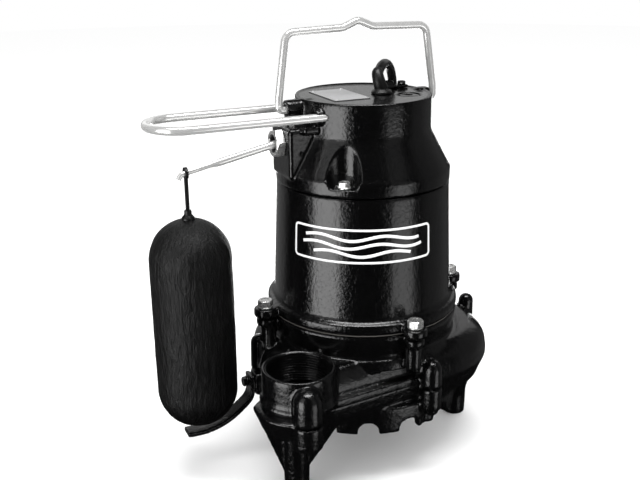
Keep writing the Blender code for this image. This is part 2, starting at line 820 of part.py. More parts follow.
def float_gear():
    thin = TIP_R / LEVER_R
    bar = [
        (lever_point(-55.0), 0.98),
        (lever_point(-74.0), 1.0),
        (lever_point(-100.0), 1.0),
        (lever_point(-126.0), 1.0),
        (lever_point(-129.0), thin),
        (lever_point(-150.0), thin),
        (lever_point(-152.6, -0.9), thin),
        (lever_point(-153.6, -3.2), thin * 0.9),
    ]
    lever = tube([p for p, _ in bar], LEVER_R, [r for _, r in bar])
    node("float_lever", lever, "bright_wire", LEVER_PIVOT)

    low, high = FLOAT_LOW_Z + FLOAT_R, FLOAT_TOP_Z - FLOAT_R
    arc = [math.radians(15 * i) for i in range(7)]
    top = [(FLOAT_R * math.sin(a), high + FLOAT_R * math.cos(a)) for a in arc]
    bottom = [(FLOAT_R * math.cos(a), low - FLOAT_R * math.sin(a)) for a in arc]
    capsule = turned([(max(r, 0.0), z) for r, z in top[:-1] + bottom[:-1]] + [(0.0, low - FLOAT_R)], 28)
    centre = Matrix.Translation((LEVER_TIP[0], 0.0, 0.0))
    capsule.transform(centre)
    node("float_body", capsule, "float_plastic", LEVER_TIP)

    strap = block((-1.1, -2.4, FLOAT_TOP_Z + 1.0), (1.1, 2.4, LEVER_TIP[2] - 1.0))
    eye = rod_along_x(4.6, -1.1, 1.1, 0.0, LEVER_TIP[2], 12)
    strap = cut(fused(strap, eye), rod_along_x(2.75, -5.0, 5.0, 0.0, LEVER_TIP[2], 10))
    strap.transform(centre)
    node("float_strap", strap, "float_plastic", LEVER_TIP)

    collar = turned(
        [(0.0, 223.5), (4.2, 223.5), (5.4, 222.0), (5.4, FLOAT_TOP_Z + GAP), (0.0, FLOAT_TOP_Z + GAP)],
        12,
    )
    collar = cut(collar, block((-1.4, -2.7, FLOAT_TOP_Z - 3.0), (1.4, 2.7, 230.0)))
    collar.transform(centre)
    node("float_collar", collar, "black_rubber", LEVER_TIP)


def rest_arm():
    """A flat strip screwed to the base plate, which curves out to below the float."""
    middle = [
        (-103.5, 76.5),
        (-103.5, 63.0),
        (-106.0, 56.0),
        (-113.0, 49.6),
        (-122.0, 43.2),
        (-131.0, 39.0),
        (-140.0, 36.6),
        (-149.0, 35.7),
        (-160.0, 36.4),
    ]
    half = 2.0
    sides = ([], [])
    for i, point in enumerate(middle):
        before, after = Vector(middle[max(i - 1, 0)]), Vector(middle[min(i + 1, len(middle) - 1)])
        along = (after - before).normalized()
        across = Vector((-along.y, along.x)) * half
        sides[0].append(tuple(Vector(point) + across))
        sides[1].append(tuple(Vector(point) - across))
    strip = slab(sides[0] + sides[1][::-1], -6.5, 6.5)
    strip.transform(Matrix.Translation((0.0, ARM_Y, 0.0)) @ Matrix.Rotation(math.pi / 2, 4, "X"))
    hole = rod_along_x(2.0 + HOLE_GAP, -110.0, -98.0, ARM_SCREW_Y, ARM_SCREW_Z, 8)
    node("float_rest_arm", cut(strip, hole), "black_enamel")
    screw = bolt(0.0, 0.0, 0.0, 4.0, 7.0, -8.6, 2.0)
    screw.transform(
        Matrix.Translation((-105.8, ARM_SCREW_Y, ARM_SCREW_Z)) @ Matrix.Rotation(-math.pi / 2, 4, "Y")
    )
    node("rest_arm_screw", screw, "zinc_steel")


# ---- wire handles ----


def bail():
    path = rounded(
        [
            (-55.5, 0.0, PIVOT_Z),
            (-72.5, 0.0, PIVOT_Z),
            (-72.0, 0.0, PIVOT_Z + 10.0),
            (-65.5, 0.0, BAIL_Z - 1.5),
            (-18.0, 0.0, BAIL_Z),
            (-5.0, 0.0, BAIL_Z + 5.2),
            (8.0, 0.0, BAIL_Z),
            (55.5, 0.0, BAIL_Z - 1.0),
            (63.5, 0.0, PIVOT_Z + 10.0),
            (64.0, 0.0, PIVOT_Z),
            (52.5, 0.0, PIVOT_Z),
        ],
        (3.4, 8.0, 8.0, 10.0, 8.0, 10.0, 8.0, 8.0, 3.4),
        3,
    )
    node("bail_handle", tube(path, BAIL_R), "bright_wire", (0.0, 0.0, PIVOT_Z))


def guard():
    arc_x = -178.0 + GUARD_R + GUARD_HALF_Y
    bend = [polar(GUARD_HALF_Y, 90.0 + 15.0 * i, (arc_x, 0.0)) for i in range(13)]
    flat = [(-41.0, GUARD_HALF_Y), *bend, (-41.0, -GUARD_HALF_Y)]
    node("float_guard", tube([(x, y, GUARD_Z) for x, y in flat], GUARD_R), "bright_wire")


# ---- disc fittings ----


def disc_fittings():
    top = DISC_Z - 1.2
    plug = fused(
        rod(8.5, top - 2.2, top + 0.4, (32.0, -16.0), 16),
        rod(4.5, top - 5.0, top, (32.0, -16.0), 6),
    )
    plug = cut(plug, rod(3.4, top - 1.5, top + 5.0, (32.0, -16.0), 6))
    node("filler_plug", plug, "black_enamel")
    label = block((-34.0, -19.5, top + GAP), (-4.0, 29.5, top + 0.7))
    node("nameplate", label, "label_foil")
    bar = fused(
        block((22.0, 12.0, top + GAP), (48.0, 20.0, top + 4.6), 0.8),
        rod(4.2, top + GAP, top + 3.0, (44.0, 16.0), 16),
    )
    bar = cut(bar, rod(2.3, top - 5.0, top + 9.0, (44.0, 16.0), 12))
    node("cord_clamp", bar, "black_enamel")
    node("clamp_screw", bolt(44.0, 16.0, top + 4.9, top + 7.4, 6.0, top - 3.5, 1.6), "zinc_steel")


# ---- power cord ----


def cord_points():
    """The cord from its strain relief, over the back of the cap and down to the coil."""
    return [
        EXIT,
        (21.1, 9.2, 318.6),
        (26.7, 15.0, 319.4),
        (34.3, 22.9, 317.4),
        (40.6, 29.3, 312.3),
        (45.1, 34.0, 305.0),
        (48.3, 37.9, 294.5),
        (50.0, 42.3, 277.0),
        (50.6, 51.0, 256.0),
        (50.0, 60.5, 236.0),
        (48.0, 69.5, 212.0),
        (44.5, 77.5, 185.0),
        (41.0, 86.0, 155.0),
        (36.5, 96.5, 123.0),
        (31.5, 106.5, 92.0),
        (28.3, 114.5, 66.0),
        (27.6, 119.0, 49.0),
        (29.0, 121.2, 35.0),
        (33.4, 121.4, 22.0),
        (41.0, 120.2, 12.6),
    ]


def relief():
    """A tapered boot that hooks over to the back, on a round foot."""
    foot = rod(8.5, DISC_Z - 1.2 + GAP, 304.5, RELIEF, 18)
    stem = rod(5.2, 286.5, 301.0, RELIEF, 14)
    end = tuple(EXIT - Vector((0.26, 0.26, 0.15)))
    points = [(15.0, -3.0, 302.0), (13.4, -2.6, 306.5), (12.8, -1.2, 310.5), (13.3, 1.3, 314.15), end]
    boot = tube(points, 6.8, [1.0, 0.92, 0.84, 0.76, 0.7])
    return fused(foot, stem, boot)


def power_cord():
    node("strain_relief", relief(), "black_rubber")
    path = smooth_path(cord_points(), 15.0)
    node("power_cord", tube(path, CORD_R), "cord_jacket")
    half = BUNDLE_HALF
    corner = 4.0
    coil = turned(
        [
            (COIL_R + half, BUNDLE_TOP_Z - corner),
            (COIL_R + half, BUNDLE_LOW_Z + corner),
            (COIL_R + half - corner, BUNDLE_LOW_Z),
            (COIL_R - half + corner, BUNDLE_LOW_Z),
            (COIL_R - half, BUNDLE_LOW_Z + corner),
            (COIL_R - half, BUNDLE_TOP_Z - corner),
            (COIL_R - half + corner, BUNDLE_TOP_Z),
            (COIL_R + half - corner, BUNDLE_TOP_Z),
        ],
        28,
        COIL,
    )
    node("cord_coil", coil, "cord_jacket")
    tie_at = (COIL[0] - COIL_R, COIL[1])
    hollow = half + GAP
    tie = cut(
        block(
            (tie_at[0] - half - 1.6, tie_at[1] - 4.0, 0.1),
            (tie_at[0] + half + 2.0, tie_at[1] + 4.0, BUNDLE_TOP_Z + 1.3),
            1.0,
        ),
        block(
            (tie_at[0] - hollow, tie_at[1] - 9.0, BUNDLE_LOW_Z - GAP),
            (tie_at[0] + hollow + 0.6, tie_at[1] + 9.0, BUNDLE_TOP_Z + GAP),
        ),
    )
    node("coil_tie", tie, "black_rubber")


def plug():
    """The moulded plug, lying on the coil along its turns."""
    angle = 40.0
    z = BUNDLE_TOP_Z + GAP + PLUG_HALF_Z
    middle = polar(COIL_R, angle, COIL)
    place = Matrix.Translation((*middle, z)) @ Matrix.Rotation(math.radians(angle + 90.0), 4, "Z")
    across = Matrix.Rotation(math.pi / 2, 4, "Y")
    body = block((-8.0, -13.0, -PLUG_HALF_Z), (16.0, 13.0, PLUG_HALF_Z), 3.0)
    neck = rod(5.2, -22.0, -4.0, sides=14, top_radius=9.5)
    neck.transform(across)
    body = fused(body, neck)
    body.transform(place)
    node("plug_body", body, "black_rubber")
    for name, side in (("plug_blade_line", 1.0), ("plug_blade_neutral", -1.0)):
        blade = block(
            (16.0 + GAP, 1.2, side * 6.35 - 0.75), (33.5, 7.5, side * 6.35 + 0.75), 0.3
        )
        blade.transform(place)
        node(name, blade, "brass")
    pin = rod(2.4, 16.0 + GAP, 36.0, sides=12)
    pin.transform(place @ Matrix.Translation((0.0, -7.5, 0.0)) @ across)
    node("plug_ground_pin", pin, "brass")


PUMP = collection("sump_pump")


def build():
    empty_scene()
    node("base_plate", base_plate(), "black_enamel")
    node("volute_casing", volute_casing(), "black_enamel")
    node("motor_housing", motor_housing(), "black_enamel")
    node("motor_cover", motor_cover(), "black_enamel")
    fasteners()
    seals()
    motor()
    rotor()
    switch_gear()
    gland()
    float_gear()
    rest_arm()
    bail()
    guard()
    disc_fittings()
    power_cord()
    plug()


build()
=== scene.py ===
"""Looks of a cast-iron submersible sump pump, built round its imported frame.

Shapes are in millimetres, measured from the motor's axis and from the floor, as the frame's
castings are: X runs away from the float, Y runs to the back and Z runs up. piece() turns them
into metres and moves them to where the motor's axis is in the frame.
"""

import json
import math

import bmesh
import bpy
from mathutils import Matrix, Vector, noise


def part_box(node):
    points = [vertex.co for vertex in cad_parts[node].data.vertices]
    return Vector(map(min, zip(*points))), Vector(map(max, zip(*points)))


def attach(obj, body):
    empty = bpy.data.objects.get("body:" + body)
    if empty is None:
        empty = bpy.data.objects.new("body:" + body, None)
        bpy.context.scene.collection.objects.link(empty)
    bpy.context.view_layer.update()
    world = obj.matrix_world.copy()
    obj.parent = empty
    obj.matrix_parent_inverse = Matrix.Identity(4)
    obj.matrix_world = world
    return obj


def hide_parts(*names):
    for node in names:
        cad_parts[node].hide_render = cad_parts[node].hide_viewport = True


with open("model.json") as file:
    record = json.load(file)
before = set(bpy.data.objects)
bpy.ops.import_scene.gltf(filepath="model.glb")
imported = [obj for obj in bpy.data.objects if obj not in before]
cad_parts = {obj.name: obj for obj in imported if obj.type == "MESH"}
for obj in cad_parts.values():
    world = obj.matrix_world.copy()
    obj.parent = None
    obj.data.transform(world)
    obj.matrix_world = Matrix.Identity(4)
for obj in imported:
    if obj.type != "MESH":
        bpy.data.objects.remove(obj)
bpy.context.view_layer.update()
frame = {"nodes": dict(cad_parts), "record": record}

MM = 0.001

# The frame's own places and sizes, in millimetres from the motor's axis
SHAFT_LOW, SHAFT_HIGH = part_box("shaft")
AXIS_X = (SHAFT_LOW.x + SHAFT_HIGH.x) / 2 / MM


def cad(name):
    """The lowest and highest corner of a CAD node, in millimetres from the motor's axis."""
    shift = Vector((AXIS_X, 0.0, 0.0))
    return tuple(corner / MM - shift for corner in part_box(name))


BASE_TOP_Z = cad("base_plate")[1].z
CASING_LOW_Z = cad("volute_casing")[0].z
CASING_TOP_Z = cad("volute_casing")[1].z
HOUSING_LOW_Z, HOUSING_TOP_Z = (corner.z for corner in cad("motor_housing"))
COVER_LOW_Z, DISC_Z = (corner.z for corner in cad("motor_cover"))
FLOAT_LOW_Z, FLOAT_TOP_Z = (corner.z for corner in cad("float_body"))
FLOAT_X = (cad("float_body")[0].x + cad("float_body")[1].x) / 2
FLOAT_R = cad("float_body")[1].y

RIM_Z = 84.5
NECK_Z = 104.0
FLANGE_TOP_Z = 133.5
BAND_TOP_Z = 244.4
CONE_TOP_Z = 272.0
BASE_LOW_Z = 59.5
LUG_Z = 58.0
TEETH_Z = 41.0

NECK_R = 79.0
FLANGE_R = 79.5
BODY_LOW_R = 73.8
BODY_TOP_R = 70.0
BAND_R = 70.5
CAP_R = 54.2
DISCHARGE = (-87.0, -63.5)
DISCHARGE_R = 28.75
DISCHARGE_BORE_R = 24.0
DISCHARGE_Z = 109.0
LOBE_R = 29.6
BASE_LOBE_R = 36.5
BOSSES = (
    (-94.0, -95.0, 11.0, 106.0),
    (18.0, -86.0, 7.8, 101.0),
    (107.0, 0.0, 6.6, 110.0),
    (-92.5, 5.0, 7.2, 108.0),
    (14.0, 95.0, 7.2, 108.0),
)
LEGS = ((-90.0, -63.0, -25.0), (92.0, -10.0, 85.0), (-29.0, 91.0, 18.0))
LEG_R = 9.8
BOLT_RING_R = 88.0
BOLT_ANGLES = (0.0, 90.0, 180.0, 270.0)
COVER_SCREW_RING_R = 64.5
COVER_SCREW_ANGLES = (230.0, 10.0, 120.0)
DISC_LIP = 1.2  # how far the disc lies below the cover's rim
POCKET_R = 14.0
POCKET_Z = 239.0
BOX_X = -71.5
BOX_HALF_Y = 18.0
LEVER_PIVOT = Vector((-74.0, 0.0, 267.0))
LEVER_TIP = Vector((-148.0, 0.0, 252.0))
PIVOT_Z = 292.0
BAIL_Z = 351.0
GUARD_Z = 289.0
GUARD_HALF_Y = 26.0
BAIL_R = 3.0
GUARD_R = 3.15
CORD_R = 3.8
RELIEF = (15.0, -3.0)
EXIT = Vector((15.5, 3.5, 315.4))
COIL = (88.0, 166.0)
COIL_R = 43.5
PLUG_ANGLE = 40.0
FILLER = (32.0, -16.0)

# The camera's place in millimetres from the motor's axis, and its turns in degrees
CAMERA_PLACE = (-326.0, -616.0, 415.8)
CAMERA_BEARING = -25.0
CAMERA_PITCH = 71.1
CAMERA_ROLL = -0.5
FOCAL_LENGTH = 49.6
SENSOR_WIDTH = 36.0
MIRRORED_SKY = 0.012  # strength of the background in reflections, where only the panels should show


# ---- camera, floor and lights ----


def camera():
    """Looks down at the pump from the front, a little from the float's side."""
    lens = bpy.data.cameras.new("view")
    lens.sensor_width = SENSOR_WIDTH
    lens.lens = FOCAL_LENGTH
    eye = bpy.data.objects.new("view", lens)
    bpy.context.scene.collection.objects.link(eye)
    eye.location = (Vector((AXIS_X, 0.0, 0.0)) + Vector(CAMERA_PLACE)) * MM
    turns = ((CAMERA_BEARING, "Z"), (CAMERA_PITCH, "X"), (CAMERA_ROLL, "Z"))
    bearing, pitch, roll = (Matrix.Rotation(math.radians(angle), 4, axis) for angle, axis in turns)
    eye.rotation_euler = (bearing @ pitch @ roll).to_euler()
    bpy.context.scene.camera = eye


def panel(name, bearing, distance, height, width, tall, strength, tilt=0.0):
    """A soft area light, in metres. Its bearing is 0 at the camera, and tilt aims it downwards."""
    lamp = bpy.data.lights.new(name, "AREA")
    lamp.shape = "RECTANGLE"
    lamp.size, lamp.size_y = width, tall
    lamp.energy = strength * width * tall * math.pi
    obj = bpy.data.objects.new(name, lamp)
    bpy.context.scene.collection.objects.link(obj)
    angle = math.radians(CAMERA_BEARING + bearing)
    middle = Vector((AXIS_X * MM, 0.0, 0.0))
    obj.location = middle + Vector((math.sin(angle), -math.cos(angle), 0.0)) * distance
    obj.location.z = height
    aim = middle + Vector((0.0, 0.0, height - math.tan(math.radians(tilt)) * distance))
    obj.rotation_euler = (aim - obj.location).to_track_quat("-Z", "Y").to_euler()
    obj.visible_camera = False


def studio():
    """A white room for diffuse light. Reflections see only the panels."""
    scene = bpy.context.scene
    scene.view_settings.view_transform = "Standard"
    world = bpy.data.worlds.new("studio")
    scene.world = world
    world.use_nodes = True
    nodes, links = world.node_tree.nodes, world.node_tree.links
    daylight = nodes["Background"]
    mirrored = nodes.new("ShaderNodeBackground")
    daylight.inputs["Color"].default_value = (1.0, 1.0, 1.0, 1.0)
    mirrored.inputs["Strength"].default_value = MIRRORED_SKY
    path, mix = nodes.new("ShaderNodeLightPath"), nodes.new("ShaderNodeMixShader")
    links.new(path.outputs["Is Glossy Ray"], mix.inputs["Fac"])
    links.new(daylight.outputs["Background"], mix.inputs[1])
    links.new(mirrored.outputs["Background"], mix.inputs[2])
    links.new(mix.outputs["Shader"], nodes["World Output"].inputs["Surface"])

    made = bmesh.new()
    bmesh.ops.create_circle(made, cap_ends=True, segments=96, radius=4.0)
    mesh = bpy.data.meshes.new("floor")
    made.to_mesh(mesh)
    made.free()
    mesh.materials.append(floor_paint())
    floor = bpy.data.objects.new("floor", mesh)
    scene.collection.objects.link(floor)
    floor.visible_glossy = False

    # name, bearing, distance, height of the middle, width, tall, strength
    panel("key_strip", -48.0, 1.2, -0.02, 0.78, 0.9, 4.2)
    panel("key_upper", -48.0, 1.2, 0.93, 0.78, 1.0, 0.8)
    panel("fill_strip", 49.0, 1.2, -0.27, 0.6, 0.66, 1.6)
    panel("fill_upper", 49.0, 1.2, 0.73, 0.6, 1.34, 0.2)
    panel("right_wash", 112.0, 1.2, 0.3, 1.5, 1.8, 0.1)
    panel("left_rim", -142.0, 1.2, 0.3, 1.0, 1.8, 0.2)
    panel("back_wash", 180.0, 1.5, 1.0, 2.4, 1.1, 0.6)
    panel("back_strip", 176.0, 1.2, -0.16, 0.8, 0.7, 3.5)
    panel("overhead", 0.0, 0.22, 1.45, 1.2, 0.36, 11.0, tilt=81.0)


def floor_paint():
    paint = bpy.data.materials.new("pale_floor")
    paint.use_nodes = True
    shader = paint.node_tree.nodes["Principled BSDF"]
    shader.inputs["Base Color"].default_value = (0.97, 0.97, 0.97, 1.0)
    shader.inputs["Roughness"].default_value = 0.9
    shader.inputs["Specular IOR Level"].default_value = 0.0
    return paint


# ---- materials ----


class Nodes:
    """Short names for the nodes of one material."""

    def __init__(self, name):
        self.paint = bpy.data.materials.new(name)
        self.paint.use_nodes = True
        self.tree = self.paint.node_tree
        self.shader = self.tree.nodes["Principled BSDF"]
        self.place = self.tree.nodes.new("ShaderNodeTexCoord").outputs["Object"]

    def set(self, **values):
        for key, value in values.items():
            self.shader.inputs[key.replace("_", " ")].default_value = value

    def node(self, kind, key, value, **inputs):
        """A new node, with a link into one socket and numbers in others."""
        node = self.tree.nodes.new("ShaderNode" + kind)
        for name, number in inputs.items():
            node.inputs[name.replace("_", " ")].default_value = number
        self.tree.links.new(value, node.inputs[key])
        return node.outputs

    def stretched(self, x, y, z):
        return self.node("Mapping", "Vector", self.place, Scale=(x, y, z))["Vector"]

    def noise(self, scale, detail=3.0, rough=0.55, distortion=0.0, at=None):
        sizes = {"Scale": scale, "Detail": detail, "Roughness": rough, "Distortion": distortion}
        return self.node("TexNoise", "Vector", at or self.place, **sizes)["Fac"]

    def voronoi(self, scale):
        return self.node("TexVoronoi", "Vector", self.place, Scale=scale)["Distance"]

    def range(self, value, low, high, to_low, to_high):
        limits = {"From_Min": low, "From_Max": high, "To_Min": to_low, "To_Max": to_high}
        return self.node("MapRange", "Value", value, **limits)["Result"]

    def colours(self, value, first, second):
        """The base colour, mixed from two by a value."""
        node = self.tree.nodes.new("ShaderNodeMix")
        node.data_type = "RGBA"
        node.inputs["A"].default_value = (*first, 1.0)
        node.inputs["B"].default_value = (*second, 1.0)
        self.tree.links.new(value, node.inputs["Factor"])
        self.tree.links.new(node.outputs["Result"], self.shader.inputs["Base Color"])

    def drive(self, key, value):
        self.tree.links.new(value, self.shader.inputs[key])

    def bump(self, *layers):
        """The finished paint, with height layers as (value, strength, depth in millimetres)."""
        normal = None
        for value, strength, depth in layers:
            node = self.tree.nodes.new("ShaderNodeBump")
            node.inputs["Strength"].default_value = strength
            node.inputs["Distance"].default_value = depth * MM
            self.tree.links.new(value, node.inputs["Height"])
            if normal is not None:
                self.tree.links.new(normal, node.inputs["Normal"])
            normal = node.outputs["Normal"]
        self.tree.links.new(normal, self.shader.inputs["Normal"])
        return self.paint


def enamel(name, peel=1.0, rough=0.15):
    """Glossy black enamel over a sand casting: orange peel, pits and dull specks."""
    n = Nodes(name)
    n.set(IOR=1.5, Coat_Weight=0.2, Coat_Roughness=0.08)
    peel_marks = n.noise(330.0, 3.0, 0.6, 0.5)
    fine = n.noise(900.0, 3.0, 0.6)
    pits = n.range(n.voronoi(420.0), 0.0, 0.28, 1.0, 0.0)
    n.colours(n.noise(90.0, 2.0), (0.0009, 0.0009, 0.001), (0.0022, 0.0022, 0.0023))
    n.drive("Roughness", n.range(fine, 0.3, 0.75, rough - 0.04, rough + 0.06))
    return n.bump((peel_marks, 1.0, 0.34 * peel), (fine, 1.0, 0.06 * peel), (pits, 0.6, -0.08 * peel))


def metal(name, colour, rough, spread=0.06, grain=(60.0, 60.0, 900.0), bump=0.05, metallic=1.0):
    n = Nodes(name)
    n.set(Metallic=metallic)
    lines = n.noise(6.0, 4.0, 0.6, at=n.stretched(*grain))
    cloud = n.noise(120.0, 3.0)
    n.colours(cloud, tuple(c * 0.86 for c in colour), colour)
    n.drive("Roughness", n.range(lines, 0.3, 0.7, rough - spread, rough + spread))
    return n.bump((lines, 0.3, bump))


def grey(value):
    return (value, value, value)


def matte(name, dark, light, rough, cell=500.0, depth=0.12, strength=0.5):
    n = Nodes(name)
    grain = n.noise(cell, 4.0, 0.6)
    n.colours(n.noise(cell * 0.12, 3.0), dark, light)
    n.drive("Roughness", n.range(grain, 0.3, 0.7, rough - 0.07, rough + 0.07))
    return n.bump((grain, strength, depth))


def float_skin():
    """Matte black plastic with long shallow wrinkles, their crests painted grey as painted highlight and
    their troughs left darker as painted shade.
    """
    n = Nodes("float_skin")
    wrinkle = n.noise(430.0, 3.0, 0.6, 0.9, at=n.stretched(1.0, 1.0, 0.2))
    grain = n.noise(1100.0, 3.0, 0.65)
    # Colour follows the wrinkles' height: lighter on the crests as painted highlight, darker in the
    # troughs as painted shade.
    n.colours(n.range(wrinkle, 0.4, 0.68, 0.0, 1.0), (0.0005, 0.0005, 0.0006), (0.0038, 0.0038, 0.004))
    n.drive("Roughness", n.range(grain, 0.3, 0.7, 0.38, 0.55))
    n.set(Specular_IOR_Level=0.42)
    return n.bump((wrinkle, 1.0, 0.9), (grain, 1.0, 0.35))


def windings():
    n = Nodes("copper_wire")
    n.set(Metallic=0.85)
    turns = n.noise(30.0, 3.0, 0.6, at=n.stretched(1.0, 1.0, 30.0))
    n.colours(turns, (0.36, 0.13, 0.05), (0.62, 0.27, 0.11))
    n.drive("Roughness", n.range(turns, 0.3, 0.7, 0.25, 0.5))
    return n.bump((turns, 0.8, 0.4))


def laminations():
    n = Nodes("laminated_steel")
    n.set(Metallic=0.9)
    sheets = n.noise(40.0, 2.0, 0.5, at=n.stretched(0.2, 0.2, 50.0))
    n.colours(sheets, (0.16, 0.16, 0.17), (0.34, 0.34, 0.36))
    n.drive("Roughness", n.range(sheets, 0.3, 0.7, 0.35, 0.6))
    return n.bump((sheets, 0.6, 0.2))


ENAMEL = enamel("black_enamel_cast")
ENAMEL_SMOOTH = enamel("black_enamel_smooth", 0.3, 0.18)
ENAMEL_ROUGH = enamel("black_enamel_sandy", 3.0, 0.34)
WIRE = metal("nickel_wire", (0.86, 0.86, 0.85), 0.15, 0.04, (700.0, 60.0, 60.0), 0.03, 0.64)
ZINC = metal("zinc_plate", (0.74, 0.74, 0.73), 0.26, 0.06, (50.0, 50.0, 50.0), 0.03, 0.86)
FOIL = metal("label_foil_print", (0.5, 0.5, 0.505), 0.4, 0.07, (40.0, 500.0, 40.0), 0.03, 0.5)
RUBBER = matte("black_rubber_moulded", grey(0.002), grey(0.005), 0.4)
JACKET = matte("cord_jacket_satin", grey(0.0025), grey(0.005), 0.32, 700.0, 0.08, 0.35)
FLOAT = float_skin()
BRASS = metal("plug_brass", (0.72, 0.55, 0.27), 0.25, 0.06, (60.0, 60.0, 600.0), 0.03)
WHITE_INK = matte("white_ink", grey(0.78), grey(0.86), 0.4, 400.0, 0.05, 0.4)


# ---- mesh helpers: each returns a mesh in millimetres ----

# Turns that lay an upright shape down, by where its top then points
TO_X = Matrix.Rotation(math.pi / 2, 4, "Y")
TO_MINUS_X = Matrix.Rotation(-math.pi / 2, 4, "Y")
TO_MINUS_Y = Matrix.Rotation(math.pi / 2, 4, "X")


def scratch(data):
    obj = bpy.data.objects.new("scratch", data)
    bpy.context.scene.collection.objects.link(obj)
    return obj


def evaluated(obj):
    """The mesh of an object with its modifiers applied; the object is removed."""
    bpy.context.view_layer.update()
    graph = bpy.context.evaluated_depsgraph_get()
    mesh = bpy.data.meshes.new_from_object(obj.evaluated_get(graph))
    mesh.transform(obj.matrix_world)
    bpy.data.objects.remove(obj, do_unlink=True)
    return mesh


def from_bmesh(made, turn=None):
    mesh = bpy.data.meshes.new("solid")
    if turn is not None:
        bmesh.ops.transform(made, matrix=turn, verts=made.verts)
    made.to_mesh(mesh)
    made.free()
    return mesh


def combined(operation, first, others):
    target = scratch(first)
    tools = [scratch(mesh) for mesh in others]
    for tool in tools:
        step = target.modifiers.new("combine", "BOOLEAN")
        step.operation = operation
        step.solver = "EXACT"
        step.object = tool
    mesh = evaluated(target)
    for tool in tools:
        bpy.data.objects.remove(tool, do_unlink=True)
    return mesh


def second_finish(made, finish, chosen):
    """Gives the chosen faces of a piece another finish."""
    made.data.materials.append(finish)
    for face in made.data.polygons:
        if chosen(face.center / MM, face.normal):
            face.material_index = 1


def fused(first, *others):
    return combined("UNION", first, others)


def cut(first, *others):
    return combined("DIFFERENCE", first, others)


def shared(first, *others):
    return combined("INTERSECT", first, others)


def moved(mesh, matrix):
    mesh.transform(matrix)
    return mesh


def joined(*meshes):
    """Several meshes as one, without merging them."""
    made = bmesh.new()
    for mesh in meshes:
        made.from_mesh(mesh)
    return from_bmesh(made)


def polar(radius, degrees, centre=(0.0, 0.0)):
    angle = math.radians(degrees)
    return (centre[0] + radius * math.cos(angle), centre[1] + radius * math.sin(angle))


def turned(profile, steps=96, at=(0.0, 0.0)):
    """A turned solid: (radius, height) pairs down the outer side, closed along the axis or as a ring."""
    mesh = bpy.data.meshes.new("profile")
    count = len(profile)
    edges = [(i, i + 1) for i in range(count - 1)]
    if min(r for r, _ in profile) > 0.0:
        edges.append((count - 1, 0))
    mesh.from_pydata([(r, 0.0, z) for r, z in profile], edges, [])
    obj = scratch(mesh)
    screw = obj.modifiers.new("turn", "SCREW")
    screw.steps = screw.render_steps = steps
    screw.use_merge_vertices = True
    screw.merge_threshold = 0.0001
    obj.location = (at[0], at[1], 0.0)
    return evaluated(obj)


def arc(centre, radius, start, end, steps=8):
    """Points of an arc in the (radius, height) plane, by its angles in degrees."""
    return [
        polar(radius, start + (end - start) * i / steps, centre) for i in range(steps + 1)
    ]


def rod(radius, low, high, at=(0.0, 0.0), sides=48, top_radius=None):
    made = bmesh.new()
    top = radius if top_radius is None else top_radius
    bmesh.ops.create_cone(
        made, cap_ends=True, segments=sides, radius1=radius, radius2=top, depth=high - low
    )
    return from_bmesh(made, Matrix.Translation((at[0], at[1], (low + high) / 2)))


def lying(radius, low, high, y, z):
    """A round bar along X."""
    turn = Matrix.Translation((0.0, y, z)) @ TO_X
    return moved(rod(radius, low, high, sides=40), turn)


def block(low, high, bevel=0.0, segments=2):
    low, high = Vector(low), Vector(high)
    made = bmesh.new()
    bmesh.ops.create_cube(made, size=1.0)
    bmesh.ops.transform(made, matrix=Matrix.Diagonal((*(high - low), 1.0)), verts=made.verts)
    if bevel:
        bmesh.ops.bevel(
            made, geom=made.edges[:], offset=bevel, segments=segments, affect="EDGES", profile=0.5
        )
    return from_bmesh(made, Matrix.Translation((low + high) / 2))


def slab(outline, low, high):
    """A flat outline, from one height to another."""
    made = bmesh.new()
    face = made.faces.new([made.verts.new((x, y, low)) for x, y in outline])
    grown = bmesh.ops.extrude_face_region(made, geom=[face])
    top = [v for v in grown["geom"] if isinstance(v, bmesh.types.BMVert)]
    bmesh.ops.translate(made, verts=top, vec=(0.0, 0.0, high - low))
    bmesh.ops.recalc_face_normals(made, faces=made.faces)
    return from_bmesh(made)


def bridge(made, rings, closed=False):
    """Faces between each ring of vertices and the next, and from the last to the first if closed."""
    for a, b in zip(rings, rings[1:] + rings[:1] if closed else rings[1:]):
        for i in range(len(a)):
            j = (i + 1) % len(a)
            made.faces.new((a[i], b[i], b[j], a[j]))


def loft(sections):
    """A solid through rings of equally many points, from the lowest up."""
    made = bmesh.new()
    rings = [[made.verts.new((x, y, z)) for x, y in outline] for z, outline in sections]
    bridge(made, rings)
    made.faces.new(rings[-1])
    made.faces.new(reversed(rings[0]))
    bmesh.ops.recalc_face_normals(made, faces=made.faces)
    return from_bmesh(made)


def hexagon(across, low, high, chamfer=0.12, turn=0.0):
    """A hexagonal prism with turned-off corners, by its width across the flats."""
    corner = across / math.sqrt(3)
    prism = moved(rod(corner, low, high, sides=6), Matrix.Rotation(turn, 4, "Z"))
    tall = high - low
    drop = corner * chamfer
    rim = corner + 0.05
    lathe = turned(
        [(0.0, high + 0.01), (across / 2 * 0.96, high + 0.01), (rim, high - drop)]
        + [(rim, low - tall), (0.0, low - tall)]
    )
    return shared(prism, lathe)


def smooth_path(points, spacing):
    """Points about a spacing apart on a smooth curve through the given ones."""
    points = [Vector(p) for p in points]
    ends = [2 * points[0] - points[1], *points, 2 * points[-1] - points[-2]]
    path = []
    for a, b, c, d in zip(ends, ends[1:], ends[2:], ends[3:]):
        steps = max(1, round((c - b).length / spacing))
        for i in range(steps):
            t = i / steps
            bend = (2 * a - 5 * b + 4 * c - d) * t**2 + (3 * b - a - 3 * c + d) * t**3
            path.append(0.5 * (2 * b + (c - a) * t + bend))
    return [*path, points[-1]]


